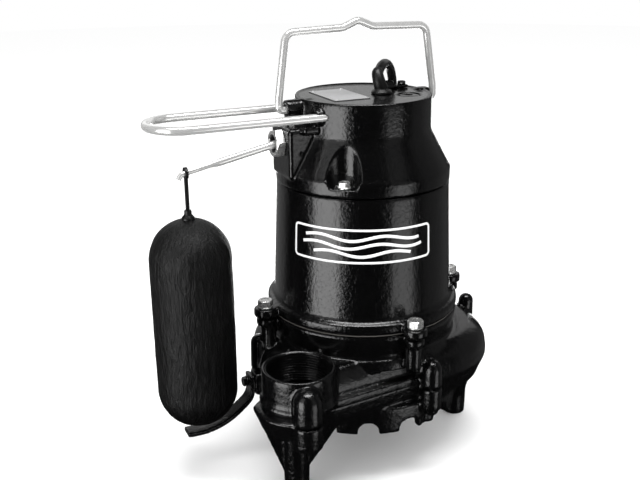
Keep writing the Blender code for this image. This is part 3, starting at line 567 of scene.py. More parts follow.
def rounded(points, radii, steps=10):
    """The points of a path, with each inner corner turned into an arc of its own radius."""
    points = [Vector(p) for p in points]
    path = [points[0]]
    for radius, before, corner, after in zip(radii, points, points[1:], points[2:]):
        back, ahead = (before - corner).normalized(), (after - corner).normalized()
        half = back.angle(ahead) / 2
        reach = radius / math.tan(half)
        middle = corner + (back + ahead).normalized() * radius / math.sin(half)
        start = (corner + back * reach - middle).normalized()
        end = (corner + ahead * reach - middle).normalized()
        path += [middle + start.slerp(end, i / steps) * radius for i in range(steps + 1)]
    return [*path, points[-1]]


def bar_curve(name, points, radius, resolution):
    curve = bpy.data.curves.new(name, "CURVE")
    curve.dimensions = "3D"
    curve.bevel_depth = radius
    curve.bevel_resolution = resolution
    curve.use_fill_caps = True
    spline = curve.splines.new("POLY")
    spline.points.add(len(points) - 1)
    for point, place in zip(spline.points, points, strict=True):
        point.co = (*place, 1.0)
    return curve


def tube(points, radius, radii=None, resolution=7):
    """A round bar through the points; radii scales its radius at each one."""
    curve = bar_curve("bar", points, radius, resolution)
    for point, share in zip(curve.splines[0].points, radii or [1.0] * len(points), strict=True):
        point.radius = share
    mesh = evaluated(scratch(curve))
    made = bmesh.new()
    made.from_mesh(mesh)
    bmesh.ops.remove_doubles(made, verts=made.verts, dist=0.0005)
    return from_bmesh(made)


def cast(mesh, voxel=1.2, rounds=5, ripple=0.035):
    """A solid with the fillets and the uneven skin of a sand casting."""
    obj = scratch(mesh)
    remesh = obj.modifiers.new("fillets", "REMESH")
    remesh.mode = "VOXEL"
    remesh.voxel_size = voxel
    soft = obj.modifiers.new("soften", "SMOOTH")
    soft.iterations = rounds
    soft.factor = 0.5
    mesh = evaluated(obj)
    normals = [v.normal.copy() for v in mesh.vertices]
    for vertex, normal in zip(mesh.vertices, normals, strict=True):
        at = vertex.co
        wave = noise.noise(at / 4.5) + 0.5 * noise.noise(at / 2.1 + Vector((50.0, 0.0, 0.0)))
        vertex.co = at + normal * wave * ripple
    return mesh


def piece(name, mesh, finish, body, slot, *nodes, sharp=40.0):
    """Puts a mesh in millimetres into the frame, as a piece that rides on a body."""
    mesh.transform(Matrix.Scale(MM, 4) @ Matrix.Translation((AXIS_X, 0.0, 0.0)))
    mesh.name = name
    mesh.materials.clear()
    mesh.materials.append(finish)
    mesh.shade_smooth()
    if sharp:
        mesh.set_sharp_from_angle(angle=math.radians(sharp))
    obj = bpy.data.objects.new(name, mesh)
    bpy.context.scene.collection.objects.link(obj)
    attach(obj, body)
    if nodes:
        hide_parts(*nodes)
    return obj


def iron_piece(name, mesh, node, finish=ENAMEL):
    return piece(name, mesh, finish, "pump_body", "black_enamel", node, sharp=0)


def screw_piece(name, mesh, node, finish=ENAMEL_SMOOTH):
    return piece(name, mesh, finish, "pump_body", "zinc_steel", node, sharp=28)


# ---- castings ----


def scroll_radius(degrees):
    """The casing's radius: widest at the right, and drawn in to the cut-water at the front."""
    share = min(max((-22.0 - degrees) / 52.0, 0.0), 1.0)
    cut_water = 16.0 * share**2 * (3.0 - 2.0 * share)
    return 101.0 + 7.0 * math.cos(math.radians(degrees + 10.0)) - cut_water


def casing_outline(inset, front_inset, lobe=LOBE_R):
    """The outline of the base plate or the casing: scroll, discharge lobe, front wall."""
    scroll = [polar(scroll_radius(a) - inset, a) for a in range(-74, 197, 3)]
    lobe_arc = [polar(lobe - inset, 165.0 + 5.0 * i, DISCHARGE) for i in range(18)]
    wall = [(-70.0 + i * 10.0, -85.5 + i * 0.85 + front_inset) for i in range(9)]
    return scroll + lobe_arc + wall


def leg(x, y, degrees):
    """A round column with a web that widens up to the plate."""
    column = rod(LEG_R, 0.0, BASE_LOW_Z + 6.0, (x, y), top_radius=LEG_R + 1.2)
    web = slab([(-7.0, 12.0), (6.0, 18.0), (34.0, 62.0), (-27.0, 62.0)], -4.5, 4.5)
    upright = standing(x, y, 0.0, degrees) @ TO_MINUS_Y
    return fused(column, moved(web, upright))


def base_casting():
    plate = loft(
        [
            (BASE_LOW_Z, casing_outline(8.5, 4.0, BASE_LOBE_R)),
            (BASE_LOW_Z + 2.0, casing_outline(6.4, 2.6, BASE_LOBE_R)),
            (BASE_LOW_Z + 9.0, casing_outline(4.0, 1.0, BASE_LOBE_R)),
            (BASE_TOP_Z, casing_outline(0.0, 0.0, BASE_LOBE_R)),
            (BASE_TOP_Z + 1.4, casing_outline(0.5, 0.5, BASE_LOBE_R - 5.0)),
        ]
    )
    lugs = [
        turned(
            [(0.0, BASE_TOP_Z - 0.4), (r + 0.5, BASE_TOP_Z - 0.4)]
            + arc((r - 1.5, LUG_Z + 2.0), 2.0, 0.0, -90.0)
            + [(0.0, LUG_Z)],
            48,
            (x, y),
        )
        for x, y, r, _ in BOSSES
    ]
    skirt = rod(83.0, TEETH_Z, BASE_LOW_Z + 4.0, sides=128)
    pad = block((-101.2, -6.5, 60.5), (-84.0, 6.5, 77.0), 1.0)
    plate = fused(plate, skirt, pad, *lugs, *[leg(*place) for place in LEGS])
    arches = [
        moved(lying(8.5, 66.0, 92.0, 0.0, 43.0), Matrix.Rotation(math.radians(angle), 4, "Z"))
        for angle in (-113.5 + 24.0 * i for i in range(15))
    ]
    chamber = rod(76.0, TEETH_Z - 5.0, 70.0, sides=128)
    eye = rod(24.0, 65.0, BASE_TOP_Z + 5.0, sides=64)
    head_room = [rod(6.8, TEETH_Z - 5.0, LUG_Z + 0.2, (x, y)) for x, y, _, _ in BOSSES]
    holes = [rod(3.6, LUG_Z - 5.0, BASE_TOP_Z + 5.0, (x, y)) for x, y, _, _ in BOSSES]
    mesh = cast(cut(plate, chamber, eye, *arches, *head_room, *holes))
    iron_piece("base_casting", mesh, "base_plate")


def dome(x, y, radius, top):
    """A blind boss with a round top, flared where it meets the rim."""
    shoulder = top - radius
    low = CASING_LOW_Z + 0.4
    crown = arc((0.0, shoulder), radius, 90.0, 0.0, 15)
    crown[0] = (0.0, top)
    return turned([*crown, (radius + 0.4, low), (0.0, low)], 48, (x, y))


def volute():
    low = CASING_LOW_Z
    shell = loft(
        [
            (low - 1.8, casing_outline(0.5, 0.5)),
            (low + 0.2, casing_outline(0.0, 0.0)),
            (RIM_Z, casing_outline(0.0, 0.0)),
            (RIM_Z + 0.6, casing_outline(0.6, 6.5)),
            (89.0, casing_outline(0.9, 7.0)),
            (93.0, casing_outline(2.0, 8.0)),
            (96.5, casing_outline(4.2, 9.5)),
            (99.0, casing_outline(7.0, 11.0)),
            (101.6, casing_outline(11.0, 13.0)),
            (NECK_Z, casing_outline(16.0, 16.0)),
        ]
    )
    neck = turned(
        [(0.0, CASING_TOP_Z), (NECK_R, CASING_TOP_Z), (NECK_R, CASING_TOP_Z - 3.5)]
        + [(NECK_R - 2.6, NECK_Z + 3.2)]
        + arc((NECK_R + 0.9, NECK_Z + 2.6), 3.4, 172.0, 262.0, 12)
        + [(NECK_R + 2.0, 95.0), (0.0, 95.0)],
        160,
    )
    boss = turned(
        [(0.0, DISCHARGE_Z), (DISCHARGE_R - 1.4, DISCHARGE_Z)]
        + arc((DISCHARGE_R - 1.4, DISCHARGE_Z - 1.4), 1.4, 90.0, 0.0)
        + [(DISCHARGE_R, RIM_Z + 3.0)]
        + arc((DISCHARGE_R + 3.0, RIM_Z + 3.0), 3.0, 180.0, 255.0)
        + [(DISCHARGE_R + 1.0, low + 0.6), (0.0, low + 0.6)],
        128,
        DISCHARGE,
    )
    posts = [
        rod(6.5, 98.0, CASING_TOP_Z - 2.0, polar(BOLT_RING_R - 2.0, a)) for a in BOLT_ANGLES
    ]
    ears = [rod(7.6, CASING_TOP_Z - 6.0, CASING_TOP_Z, polar(BOLT_RING_R, a)) for a in BOLT_ANGLES]
    notch = moved(
        block((-4.5, -8.0, -4.5), (4.5, 8.0, 4.5), 0.6),
        Matrix.Translation((8.2, -82.5, RIM_Z + 3.0)) @ Matrix.Rotation(math.pi / 4, 4, "Y"),
    )
    shell = cut(shell, notch)
    body = fused(shell, neck, boss, *[dome(*place) for place in BOSSES], *posts, *ears)
    mouth = turned(
        [(0.0, DISCHARGE_Z + 3.0), (29.4, DISCHARGE_Z + 3.0), (26.2, DISCHARGE_Z - 0.2)]
        + [(24.9, DISCHARGE_Z - 2.0), (24.9, 83.0), (0.0, 83.0)],
        96,
        DISCHARGE,
    )
    throat = rod(14.0, low - 5.0, 94.0, DISCHARGE)
    scroll = slab(casing_outline(13.0, 20.0, LOBE_R), low - 5.0, 93.0)
    well = turned([(60.0, 130.0), (60.0, 101.0), (23.0, 101.0), (23.0, 130.0)], 96)
    mesh = cast(cut(body, mouth, throat, scroll, well))
    made = iron_piece("volute_casting", mesh, "volute_casing")

    def front_ledge(at, normal):
        level = abs(at.z - RIM_Z) < 1.6 and normal.z > 0.6
        return level and at.y < -70.0 and at.x < 40.0 + AXIS_X

    second_finish(made, ENAMEL_ROUGH, front_ledge)


def thread():
    """The pipe thread in the discharge: one helical ridge with a flat inside face."""
    pitch, depth, back_radius = 2.2, 1.15, 26.4
    around, up = 120, 96
    low, high = 84.0, DISCHARGE_Z - 0.9
    made = bmesh.new()

    def ring(z, radii):
        return [
            made.verts.new((*polar(radius, 360.0 * i / around, DISCHARGE), z))
            for i, radius in enumerate(radii)
        ]

    rings = []
    for j in range(up + 1):
        z = low + (high - low) * j / up
        taper = 0.03 * (z - low)
        phases = [(z / pitch - i / around) % 1.0 for i in range(around)]
        ridges = [depth * (1.0 - abs(2.0 * phase - 1.0)) for phase in phases]
        rings.append(ring(z, [DISCHARGE_BORE_R - ridge + depth + taper for ridge in ridges]))
    rings += [ring(z, [back_radius] * around) for z in (high, low)]
    bridge(made, rings, closed=True)
    bmesh.ops.recalc_face_normals(made, faces=made.faces)
    mesh = from_bmesh(made)
    piece("discharge_thread", mesh, ENAMEL_SMOOTH, "pump_body", "black_enamel", sharp=0)


def housing():
    shell = turned(
        [(BODY_TOP_R - 0.5, HOUSING_TOP_Z), (BODY_TOP_R, HOUSING_TOP_Z - 0.5)]
        + [(BODY_LOW_R, FLANGE_TOP_Z + 6.5)]
        + arc((BODY_LOW_R + 5.0, FLANGE_TOP_Z + 5.6), 5.0, 180.0, 270.0, 10)
        + [(FLANGE_R - 0.8, FLANGE_TOP_Z + 0.3)]
        + arc((FLANGE_R - 1.2, FLANGE_TOP_Z - 1.0), 1.2, 90.0, 0.0)
        + [(FLANGE_R, HOUSING_LOW_Z), (63.7, HOUSING_LOW_Z), (63.7, 221.0)]
        + [(55.0, 222.5), (55.0, HOUSING_TOP_Z)],
        192,
    )
    ears = [
        turned(
            [(0.0, FLANGE_TOP_Z - 0.2), (8.7, FLANGE_TOP_Z - 0.2), (9.5, FLANGE_TOP_Z - 1.0)]
            + [(9.5, HOUSING_LOW_Z), (0.0, HOUSING_LOW_Z)],
            48,
            polar(BOLT_RING_R, a),
        )
        for a in BOLT_ANGLES
    ]
    mesh = cast(fused(shell, *ears), 1.22, 5, 0.04)
    iron_piece("housing_casting", mesh, "motor_housing")


def body_radius(z):
    """The radius of the housing's tapered wall at a height."""
    low, high = FLANGE_TOP_Z + 6.5, HOUSING_TOP_Z - 0.5
    return BODY_LOW_R + (BODY_TOP_R - BODY_LOW_R) * (z - low) / (high - low)


def printed_line(path, width, closed):
    """A flat printed line on the motor housing, through (degrees, height) points."""
    made = bmesh.new()
    count = len(path)
    rings = []
    for i, (angle, z) in enumerate(path):
        before = path[(i - 1) % count] if closed or i else path[0]
        after = path[(i + 1) % count] if closed or i < count - 1 else path[-1]
        per_degree = math.radians(1.0) * body_radius(z)
        along = Vector(((after[0] - before[0]) * per_degree, after[1] - before[1])).normalized()
        side = Vector((-along.y, along.x)) * width / 2
        ring = []
        for sign, lift in ((-1.0, -0.3), (1.0, -0.3), (1.0, 0.16), (-1.0, 0.16)):
            a, h = angle + sign * side.x / per_degree, z + sign * side.y
            ring.append(made.verts.new((*polar(body_radius(h) + lift, a), h)))
        rings.append(ring)
    bridge(made, rings, closed)
    if not closed:
        made.faces.new(rings[0])
        made.faces.new(rings[-1][::-1])
    bmesh.ops.recalc_face_normals(made, faces=made.faces)
    return from_bmesh(made)


def badge():
    """A plain printed mark: a rounded frame round three waves."""
    middle, half, low, high, corner = -117.9, 45.6, 183.2, 208.6, 3.0
    per_degree = math.radians(1.0) * body_radius((low + high) / 2)
    frame_line = []
    straight = 40
    corners = ((half, high, 0.0), (-half, high, 90.0), (-half, low, 180.0), (half, low, 270.0))
    for x, z, start in corners:
        centre = (x * per_degree - math.copysign(corner, x), z + (corner if z == low else -corner))
        for i in range(9):
            px, pz = polar(corner, start + 90.0 * i / 8, centre)
            frame_line.append((middle + px / per_degree, pz))
        if start in (0.0, 180.0):
            side = -1.0 if start == 0.0 else 1.0
            for i in range(1, straight):
                frame_line.append((middle - side * (half - 4.0) * (1.0 - 2.0 * i / straight), z))
    lines = [printed_line(frame_line, 1.7, True)]
    for rise, reach in ((202.0, 37.0), (195.9, 39.0), (189.8, 31.0)):
        wave = [
            (middle + reach * (2.0 * i / 120 - 1.0), rise + 1.9 * math.sin(i / 120 * reach / 3.2))
            for i in range(121)
        ]
        lines.append(printed_line(wave, 2.3, False))
    piece("wave_badge", joined(*lines), WHITE_INK, "pump_body", "label_foil", sharp=0)


def pocket(angle):
    """The cutter of a screw's pocket: a round scallop, drawn in towards its floor."""
    top, foot = 292.0, 246.5
    profile = [(0.0, top), (POCKET_R, top), (POCKET_R, foot), (POCKET_R - 4.5, POCKET_Z), (0.0, POCKET_Z)]
    return turned(profile, 64, polar(70.0, angle))


def cover():
    shell = turned(
        [(0.0, DISC_Z - DISC_LIP), (CAP_R - 2.8, DISC_Z - DISC_LIP), (CAP_R - 2.2, DISC_Z - 0.5)]
        + [(CAP_R - 1.8, DISC_Z), (CAP_R - 0.7, DISC_Z)]
        + arc((CAP_R - 0.7, DISC_Z - 0.7), 0.7, 90.0, 0.0, 4)
        + [(CAP_R + 0.3, CONE_TOP_Z + 1.5), (CAP_R + 1.0, CONE_TOP_Z - 0.5)]
        + [(69.0, BAND_TOP_Z + 1.2), (BAND_R, BAND_TOP_Z - 0.8), (BAND_R, COVER_LOW_Z + 0.5)]
        + [(BAND_R - 0.5, COVER_LOW_Z), (0.0, COVER_LOW_Z)],
        192,
    )
    box = block((BOX_X, -BOX_HALF_Y, 241.0), (-40.0, BOX_HALF_Y, 280.0), 2.4, 3)
    bracket = block((-66.5, -5.0, 276.0), (-45.0, 5.0, PIVOT_Z), 1.0)
    shelf = block((-62.0, -24.0, 276.5), (-36.0, 24.0, 282.0), 1.5)
    left_pivot = lying(6.2, -67.0, -45.0, 0.0, PIVOT_Z + 1.6)
    right_pivot = fused(
        lying(6.0, 45.0, 59.5, 0.0, PIVOT_Z + 1.0),
        block((47.0, -4.6, 288.0), (59.5, 4.6, 300.8), 1.8),
    )
    guard_bosses = [
        lying(5.6, -53.5, -30.0, GUARD_HALF_Y, GUARD_Z),
        lying(6.4, -53.5, -35.5, 3.4 - GUARD_HALF_Y, GUARD_Z),
    ]
    body = fused(shell, box, bracket, shelf, left_pivot, right_pivot, *guard_bosses)
    inside = turned(
        [(0.0, 290.0), (47.5, 290.0), (47.5, 262.0), (50.0, 258.0), (50.0, 240.0)]
        + [(54.0, 237.0), (54.0, COVER_LOW_Z - 5.0), (0.0, COVER_LOW_Z - 5.0)]
    )
    gland_hole = lying(7.6, BOX_X - 5.0, BOX_X + 10.0, 0.0, LEVER_PIVOT.z)
    guard_holes = [
        lying(GUARD_R + 0.2, -58.0, end, side * GUARD_HALF_Y, GUARD_Z)
        for side, end in ((-1.0, -34.0), (1.0, -42.0))
    ]
    bail_holes = [
        lying(BAIL_R + 0.3, -72.0, -54.5, 0.0, PIVOT_Z),
        lying(BAIL_R + 0.3, 51.5, 65.0, 0.0, PIVOT_Z),
    ]
    seat = turned(
        [(0.0, 305.0), (10.4, 305.0), (9.2, DISC_Z - 1.4), (8.9, 294.5), (0.0, 294.5)], 64, FILLER
    )
    dimple = moved(
        rod(1.6, -1.0, 1.5, sides=24),
        Matrix.Translation((-61.5, -BOX_HALF_Y, 261.0)) @ TO_MINUS_Y,
    )
    pockets = [pocket(a) for a in COVER_SCREW_ANGLES]
    mesh = cut(body, inside, gland_hole, seat, dimple, *pockets, *guard_holes, *bail_holes)
    mesh = cast(mesh, 1.0, 4, 0.035)
    made = iron_piece("cover_casting", mesh, "motor_cover")
    second_finish(made, ENAMEL_SMOOTH, lambda at, normal: at.z > DISC_Z - 2.0 and normal.z > 0.9)


# ---- fasteners ----


def hex_bolt(across, tall, washer_r, shank_r, shank_tall):
    """A chamfered hex head on its washer, with the top of the head at height tall."""
    washer = turned(
        [(0.0, 1.3), (washer_r - 0.4, 1.3), (washer_r, 0.9), (washer_r, 0.3)]
        + [(washer_r - 0.3, 0.0), (0.0, 0.0)],
        48,
    )
    head = hexagon(across, 1.2, tall)
    dish_r = across * 0.3
    dish = turned(
        [(0.0, tall + 1.0), (dish_r, tall + 1.0), (dish_r, tall - 0.35), (0.0, tall - 0.45)], 48
    )
    shank = rod(shank_r, -shank_tall, 0.6, sides=24)
    return fused(cut(head, dish), washer, shank)


def standing(x, y, z, degrees):
    """A place with its own Z upright, turned by an angle."""
    return Matrix.Translation((x, y, z)) @ Matrix.Rotation(math.radians(degrees), 4, "Z")


def fasteners():
    for i, angle in enumerate(BOLT_ANGLES, 1):
        place = standing(*polar(BOLT_RING_R, angle), FLANGE_TOP_Z - 0.1, angle + 14.0)
        mesh = moved(hex_bolt(10.9, 6.4, 6.0, 3.0, 25.0), place)
        screw_piece(f"flange_bolt_{i}", mesh, f"housing_bolt_{i}", ZINC)
    for i, angle in enumerate(COVER_SCREW_ANGLES, 1):
        head = hex_bolt(8.0, 4.9, 4.9, 2.0, 16.0)
        slot = block((-6.0, -0.55, 3.6), (6.0, 0.55, 7.0))
        place = standing(*polar(COVER_SCREW_RING_R, angle), POCKET_Z + 0.3, angle + 50.0)
        mesh = moved(cut(head, slot), place)
        screw_piece(f"pocket_screw_{i}", mesh, f"cover_screw_{i}", ZINC)
    for i, (x, y, _, _) in enumerate(BOSSES, 1):
        place = Matrix.Translation((x, y, LUG_Z - 0.3)) @ Matrix.Rotation(math.pi, 4, "X")
        mesh = moved(hex_bolt(10.0, 3.4, 5.4, 3.0, 30.0), place)
        screw_piece(f"lug_screw_{i}", mesh, f"base_screw_{i}")
    place = Matrix.Translation((-105.8, 1.0, 70.0)) @ TO_MINUS_X
    mesh = moved(hex_bolt(7.0, 4.0, 4.4, 2.0, 8.0), place)
    screw_piece("arm_screw", mesh, "rest_arm_screw")


# ---- gland, lever and float ----


def gland():
    nut = cut(hexagon(20.0, 0.0, 6.6, 0.14, math.radians(12)), rod(6.9, -5.0, 15.0))
    chamfer = turned([(0.0, 8.2), (9.2, 8.2), (6.9, 6.0), (0.0, 6.0)], 64)
    outwards = Matrix.Translation((BOX_X - 0.3, 0.0, LEVER_PIVOT.z)) @ TO_MINUS_X
    mesh = moved(cut(nut, chamfer), outwards)
    screw_piece("lever_gland", mesh, "gland_nut", ZINC)
    boot = turned(
        [(6.4, 5.2), (6.4, -3.0), (4.9, -3.0), (4.4, 0.5), (4.9, 3.5), (5.6, 5.0)], 48
    )
    mesh = moved(boot, outwards)
    piece("gland_boot", mesh, RUBBER, "pump_body", "black_rubber", "lever_boot")


def lever_point(x, lift=0.0):
    slope = (LEVER_TIP.z - LEVER_PIVOT.z) / (LEVER_TIP.x - LEVER_PIVOT.x)
    return (x, 0.0, LEVER_PIVOT.z + slope * (x - LEVER_PIVOT.x) + lift)


def wrinkled(skin, centre):
    """Pushes a turned skin in and out, in long upright wrinkles and shallow lumps."""
    normals = [v.normal.copy() for v in skin.vertices]
    for vertex, normal in zip(skin.vertices, normals, strict=True):
        at = vertex.co - centre
        upright = math.hypot(normal.x, normal.y)
        drift = noise.noise(at / 22.0) * 6.0
        around = math.atan2(at.y, at.x)
        cosine, sine = math.cos(around), math.sin(around)
        wrinkle = noise.noise(Vector((cosine * 11.0 + drift * 0.12, sine * 11.0, at.z / 14.0)))
        fine = noise.noise(Vector((cosine * 24.0, sine * 24.0 + drift * 0.1, at.z / 7.0)))
        lump = noise.noise(at / 17.0)
        push = -0.28 + upright * (0.3 * wrinkle + 0.16 * fine) + 0.3 * lump
        vertex.co = vertex.co + normal * push


def float_gear():
    # Along the lever: the distance out, the height above its line and the share of its full radius
    thick, thin = 3.0, 2.0 / 3.0
    shape = (
        (-55.0, 0.0, 0.98),
        (-60.0, 0.0, 1.0),
        (-100.0, 0.0, 1.0),
        (-121.0, 0.0, 1.0),
        (-124.5, 0.0, 0.94),
        (-127.0, 0.0, 0.78),
        (-129.0, 0.0, thin),
        (-140.0, 0.0, thin),
        (-149.5, 0.0, thin),
        (-151.6, -0.4, thin),
        (-153.0, -1.6, thin),
        (-153.7, -3.4, thin * 0.95),
    )
    mesh = tube([lever_point(x, z) for x, z, _ in shape], thick, [r for _, _, r in shape])
    piece("lever_bar", mesh, WIRE, "lever", "bright_wire", "float_lever")

    low, high = FLOAT_LOW_Z + FLOAT_R, FLOAT_TOP_Z - FLOAT_R
    rows = 70
    side = [(FLOAT_R, high - (high - low) * i / rows) for i in range(1, rows)]
    top = arc((0.0, high), FLOAT_R, 90.0, 0.0, 30)
    bottom = arc((0.0, low), FLOAT_R, 0.0, -90.0, 30)
    profile = [*top, *side, *bottom]
    profile[0], profile[-1] = (0.0, FLOAT_TOP_Z), (0.0, FLOAT_LOW_Z)
    skin = turned(profile, 260, (FLOAT_X, 0.0))
    wrinkled(skin, Vector((FLOAT_X, 0.0, 0.0)))
    piece("float_shell", skin, FLOAT, "float", "float_plastic", "float_body", sharp=0)

    strap = block((-1.1, -2.4, FLOAT_TOP_Z + 1.0), (1.1, 2.4, LEVER_TIP.z - 1.0), 0.5)
    eye = lying(4.6, -1.1, 1.1, 0.0, LEVER_TIP.z)
    strap = cut(fused(strap, eye), lying(2.5, -5.0, 5.0, 0.0, LEVER_TIP.z))
    mesh = moved(strap, Matrix.Translation((LEVER_TIP.x, 0.0, 0.0)))
    piece("float_link", mesh, RUBBER, "float", "float_plastic", "float_strap")
    collar = turned(
        [(0.0, 223.5), (2.6, 223.5), (2.9, 222.6), (2.9, 220.6), (3.6, 219.4)]
        + [(4.8, 218.2), (5.2, 217.2), (5.2, 216.6), (0.0, 216.6)],
        48,
        (LEVER_TIP.x, 0.0),
    )
    piece("float_neck", collar, RUBBER, "float", "black_rubber", "float_collar")


def rest_arm():
    """A flat cast strip, which curves out from the base plate to below the float."""
    middle = smooth_path(
        [
            (-103.5, 0.0, 76.5),
            (-103.5, 0.0, 63.0),
            (-106.0, 0.0, 56.0),
            (-113.0, 0.0, 49.6),
            (-122.0, 0.0, 43.2),
            (-131.0, 0.0, 39.0),
            (-140.0, 0.0, 36.6),
            (-149.0, 0.0, 35.7),
            (-160.0, 0.0, 36.4),
        ],
        2.0,
    )
    sides = ([], [])
    for i, point in enumerate(middle):
        along = (middle[min(i + 1, len(middle) - 1)] - middle[max(i - 1, 0)]).normalized()
        across = Vector((-along.z, 0.0, along.x)) * 1.9
        sides[0].append(((point + across).x, (point + across).z))
        sides[1].append(((point - across).x, (point - across).z))
    strip = slab(sides[0] + sides[1][::-1], -6.4, 6.4)
    strip = moved(strip, TO_MINUS_Y)
    mesh = cast(strip, 0.7, 3, 0.04)
    iron_piece("rest_arm_strip", mesh, "float_rest_arm")


# ---- wire handles ----


def wires():
    path = rounded(
        [
            (-55.5, 0.0, PIVOT_Z),
            (-72.5, 0.0, PIVOT_Z),
            (-72.0, 0.0, PIVOT_Z + 10.0),
            (-65.5, 0.0, BAIL_Z - 1.5),
            (-18.0, 0.0, BAIL_Z),
            (-5.0, 0.0, BAIL_Z + 5.2),
            (8.0, 0.0, BAIL_Z),
            (55.5, 0.0, BAIL_Z - 1.0),
            (63.5, 0.0, PIVOT_Z + 10.0),
            (64.0, 0.0, PIVOT_Z),
            (52.5, 0.0, PIVOT_Z),
        ],
        (3.4, 8.0, 8.0, 10.0, 8.0, 10.0, 8.0, 8.0, 3.4),
    )
    piece("bail_wire", tube(path, BAIL_R), WIRE, "bail", "bright_wire", "bail_handle")
    arc_x = -178.0 + GUARD_R + GUARD_HALF_Y
    bend = [polar(GUARD_HALF_Y, 90.0 + 5.0 * i, (arc_x, 0.0)) for i in range(37)]
    flat = [(-41.0, GUARD_HALF_Y), *bend, (-34.5, -GUARD_HALF_Y)]
    mesh = tube([(x, y, GUARD_Z) for x, y in flat], GUARD_R)
    piece("guard_wire", mesh, WIRE, "pump_body", "bright_wire", "float_guard")


# ---- fittings on the disc ----


def disc_fittings():
    top = DISC_Z - DISC_LIP
    cap = turned(
        [(0.0, top - 1.4), (3.4, top - 1.4), (3.5, top - 0.4), (7.4, top - 0.4)]
        + [(8.4, top - 0.9), (8.5, top - 2.2), (0.0, top - 2.2)],
        64,
        FILLER,
    )
    socket = moved(rod(3.4, -1.5, 5.0, sides=6), Matrix.Translation((*FILLER, top - 0.2)))
    piece("oil_plug", cut(cap, socket), ENAMEL_SMOOTH, "pump_body", "black_enamel", "filler_plug")

    low, high = cad("nameplate")
    plate = block((low.x, low.y, low.z - 0.2), (high.x, high.y, high.z), 0.15)
    rivet = [(0.0, high.z + 0.7), (0.8, high.z + 0.55), (1.2, high.z), (0.0, high.z - 0.2)]
    inset = 2.6
    rivets = [
        turned(rivet, 20, (x, y))
        for x in (low.x + inset, high.x - inset)
        for y in (low.y + inset, high.y - inset)
    ]
    piece("rating_label", joined(plate, *rivets), FOIL, "pump_body", "label_foil", "nameplate")

    low, high = cad("cord_clamp")
    bar = fused(
        block((low.x, low.y, low.z), (high.x, high.y, low.z + 2.4), 0.7),
        lying(5.2, low.x + 2.0, low.x + 13.0, (low.y + high.y) / 2, low.z + 1.2),
    )
    bar = cut(bar, block((low.x - 9.0, low.y - 9.0, low.z - 9.0), (high.x + 9.0, high.y + 9.0, low.z)))
    mesh = cast(bar, 0.45, 3, 0.03)
    iron_piece("clamp_bar", mesh, "cord_clamp", ENAMEL_SMOOTH)
    low, high = cad("clamp_screw")
    head = hex_bolt(5.6, 2.6, 3.4, 1.4, 5.0)
    mesh = moved(head, Matrix.Translation(((low.x + high.x) / 2, (low.y + high.y) / 2, 301.6)))
    screw_piece("clamp_bolt", mesh, "clamp_screw")


# ---- power cord ----

# From the strain relief, over the disc's edge and down the back to the coil
ROUTE = [
    EXIT,
    (21.1, 9.2, 318.6),
    (26.7, 15.0, 319.4),
    (34.3, 22.9, 317.4),
    (40.6, 29.3, 312.3),
    (45.1, 34.0, 305.0),
    (48.3, 37.9, 294.5),
    (50.0, 42.3, 277.0),
    (50.6, 51.0, 256.0),
    (50.0, 60.5, 236.0),
    (48.0, 69.5, 212.0),
    (44.5, 77.5, 185.0),
    (41.0, 86.0, 155.0),
    (36.5, 96.5, 123.0),
    (31.5, 106.5, 92.0),
    (28.3, 114.5, 66.0),
    (27.6, 119.0, 49.0),
    (29.0, 121.2, 35.0),
    (33.4, 121.4, 22.0),
    (41.0, 120.2, 12.6),
]

# Radius, angle and height round the coil: on to the floor, and up over the turns to the plug.
LANDING = ((60.8, 231.8, 6.6), (57.3, 241.2, 4.5), (54.3, 251.2, 4.2), (52.1, 261.5, 4.2))
RISE = (
    (43.6, 156.0, 21.0),
    (44.0, 137.0, 25.0),
    (45.3, 119.0, 28.6),
    (48.3, 101.0, 31.0),
    (51.8, 83.0, 32.8),
    (54.4, 64.0, 34.2),
    (53.7, 46.5, 34.8),
    (50.9, 33.0, 34.9),
)


def coil_points():
    """The turns of the coil, laid from the outside in, then back out and up, row by row."""
    across = 2 * CORD_R
    low, middle, top = (4.2 + across * k for k in range(3))
    outer, inner = COIL_R + across, COIL_R - across
    rows = [(outer, low), (COIL_R, low), (inner, low), (inner, middle), (COIL_R, middle)]
    rows += [(outer, middle), (outer, top), (COIL_R, top), (COIL_R, top)]
    crossing, width = 160.0, 84.0  # where a turn passes over to the next, in degrees
    first, last = 272.0, crossing + 7 * 360.0 + 62.0
    points = []
    count = round((last - first) / 12.0)
    for i in range(count + 1):
        angle = first + (last - first) * i / count
        k = int((angle - crossing) // 360.0)
        share = max(0.0, ((angle - crossing) % 360.0 - (360.0 - width)) / width)
        share = share**2 * (3.0 - 2.0 * share)
        (r, z), (next_r, next_z) = rows[k], rows[k + 1]
        bulge = 0.0 if next_z == z else math.copysign(3.0, r - COIL_R) * math.sin(math.pi * share)
        point = polar(r + (next_r - r) * share + bulge, angle, COIL)
        points.append((*point, z + (next_z - z) * share))
    return points


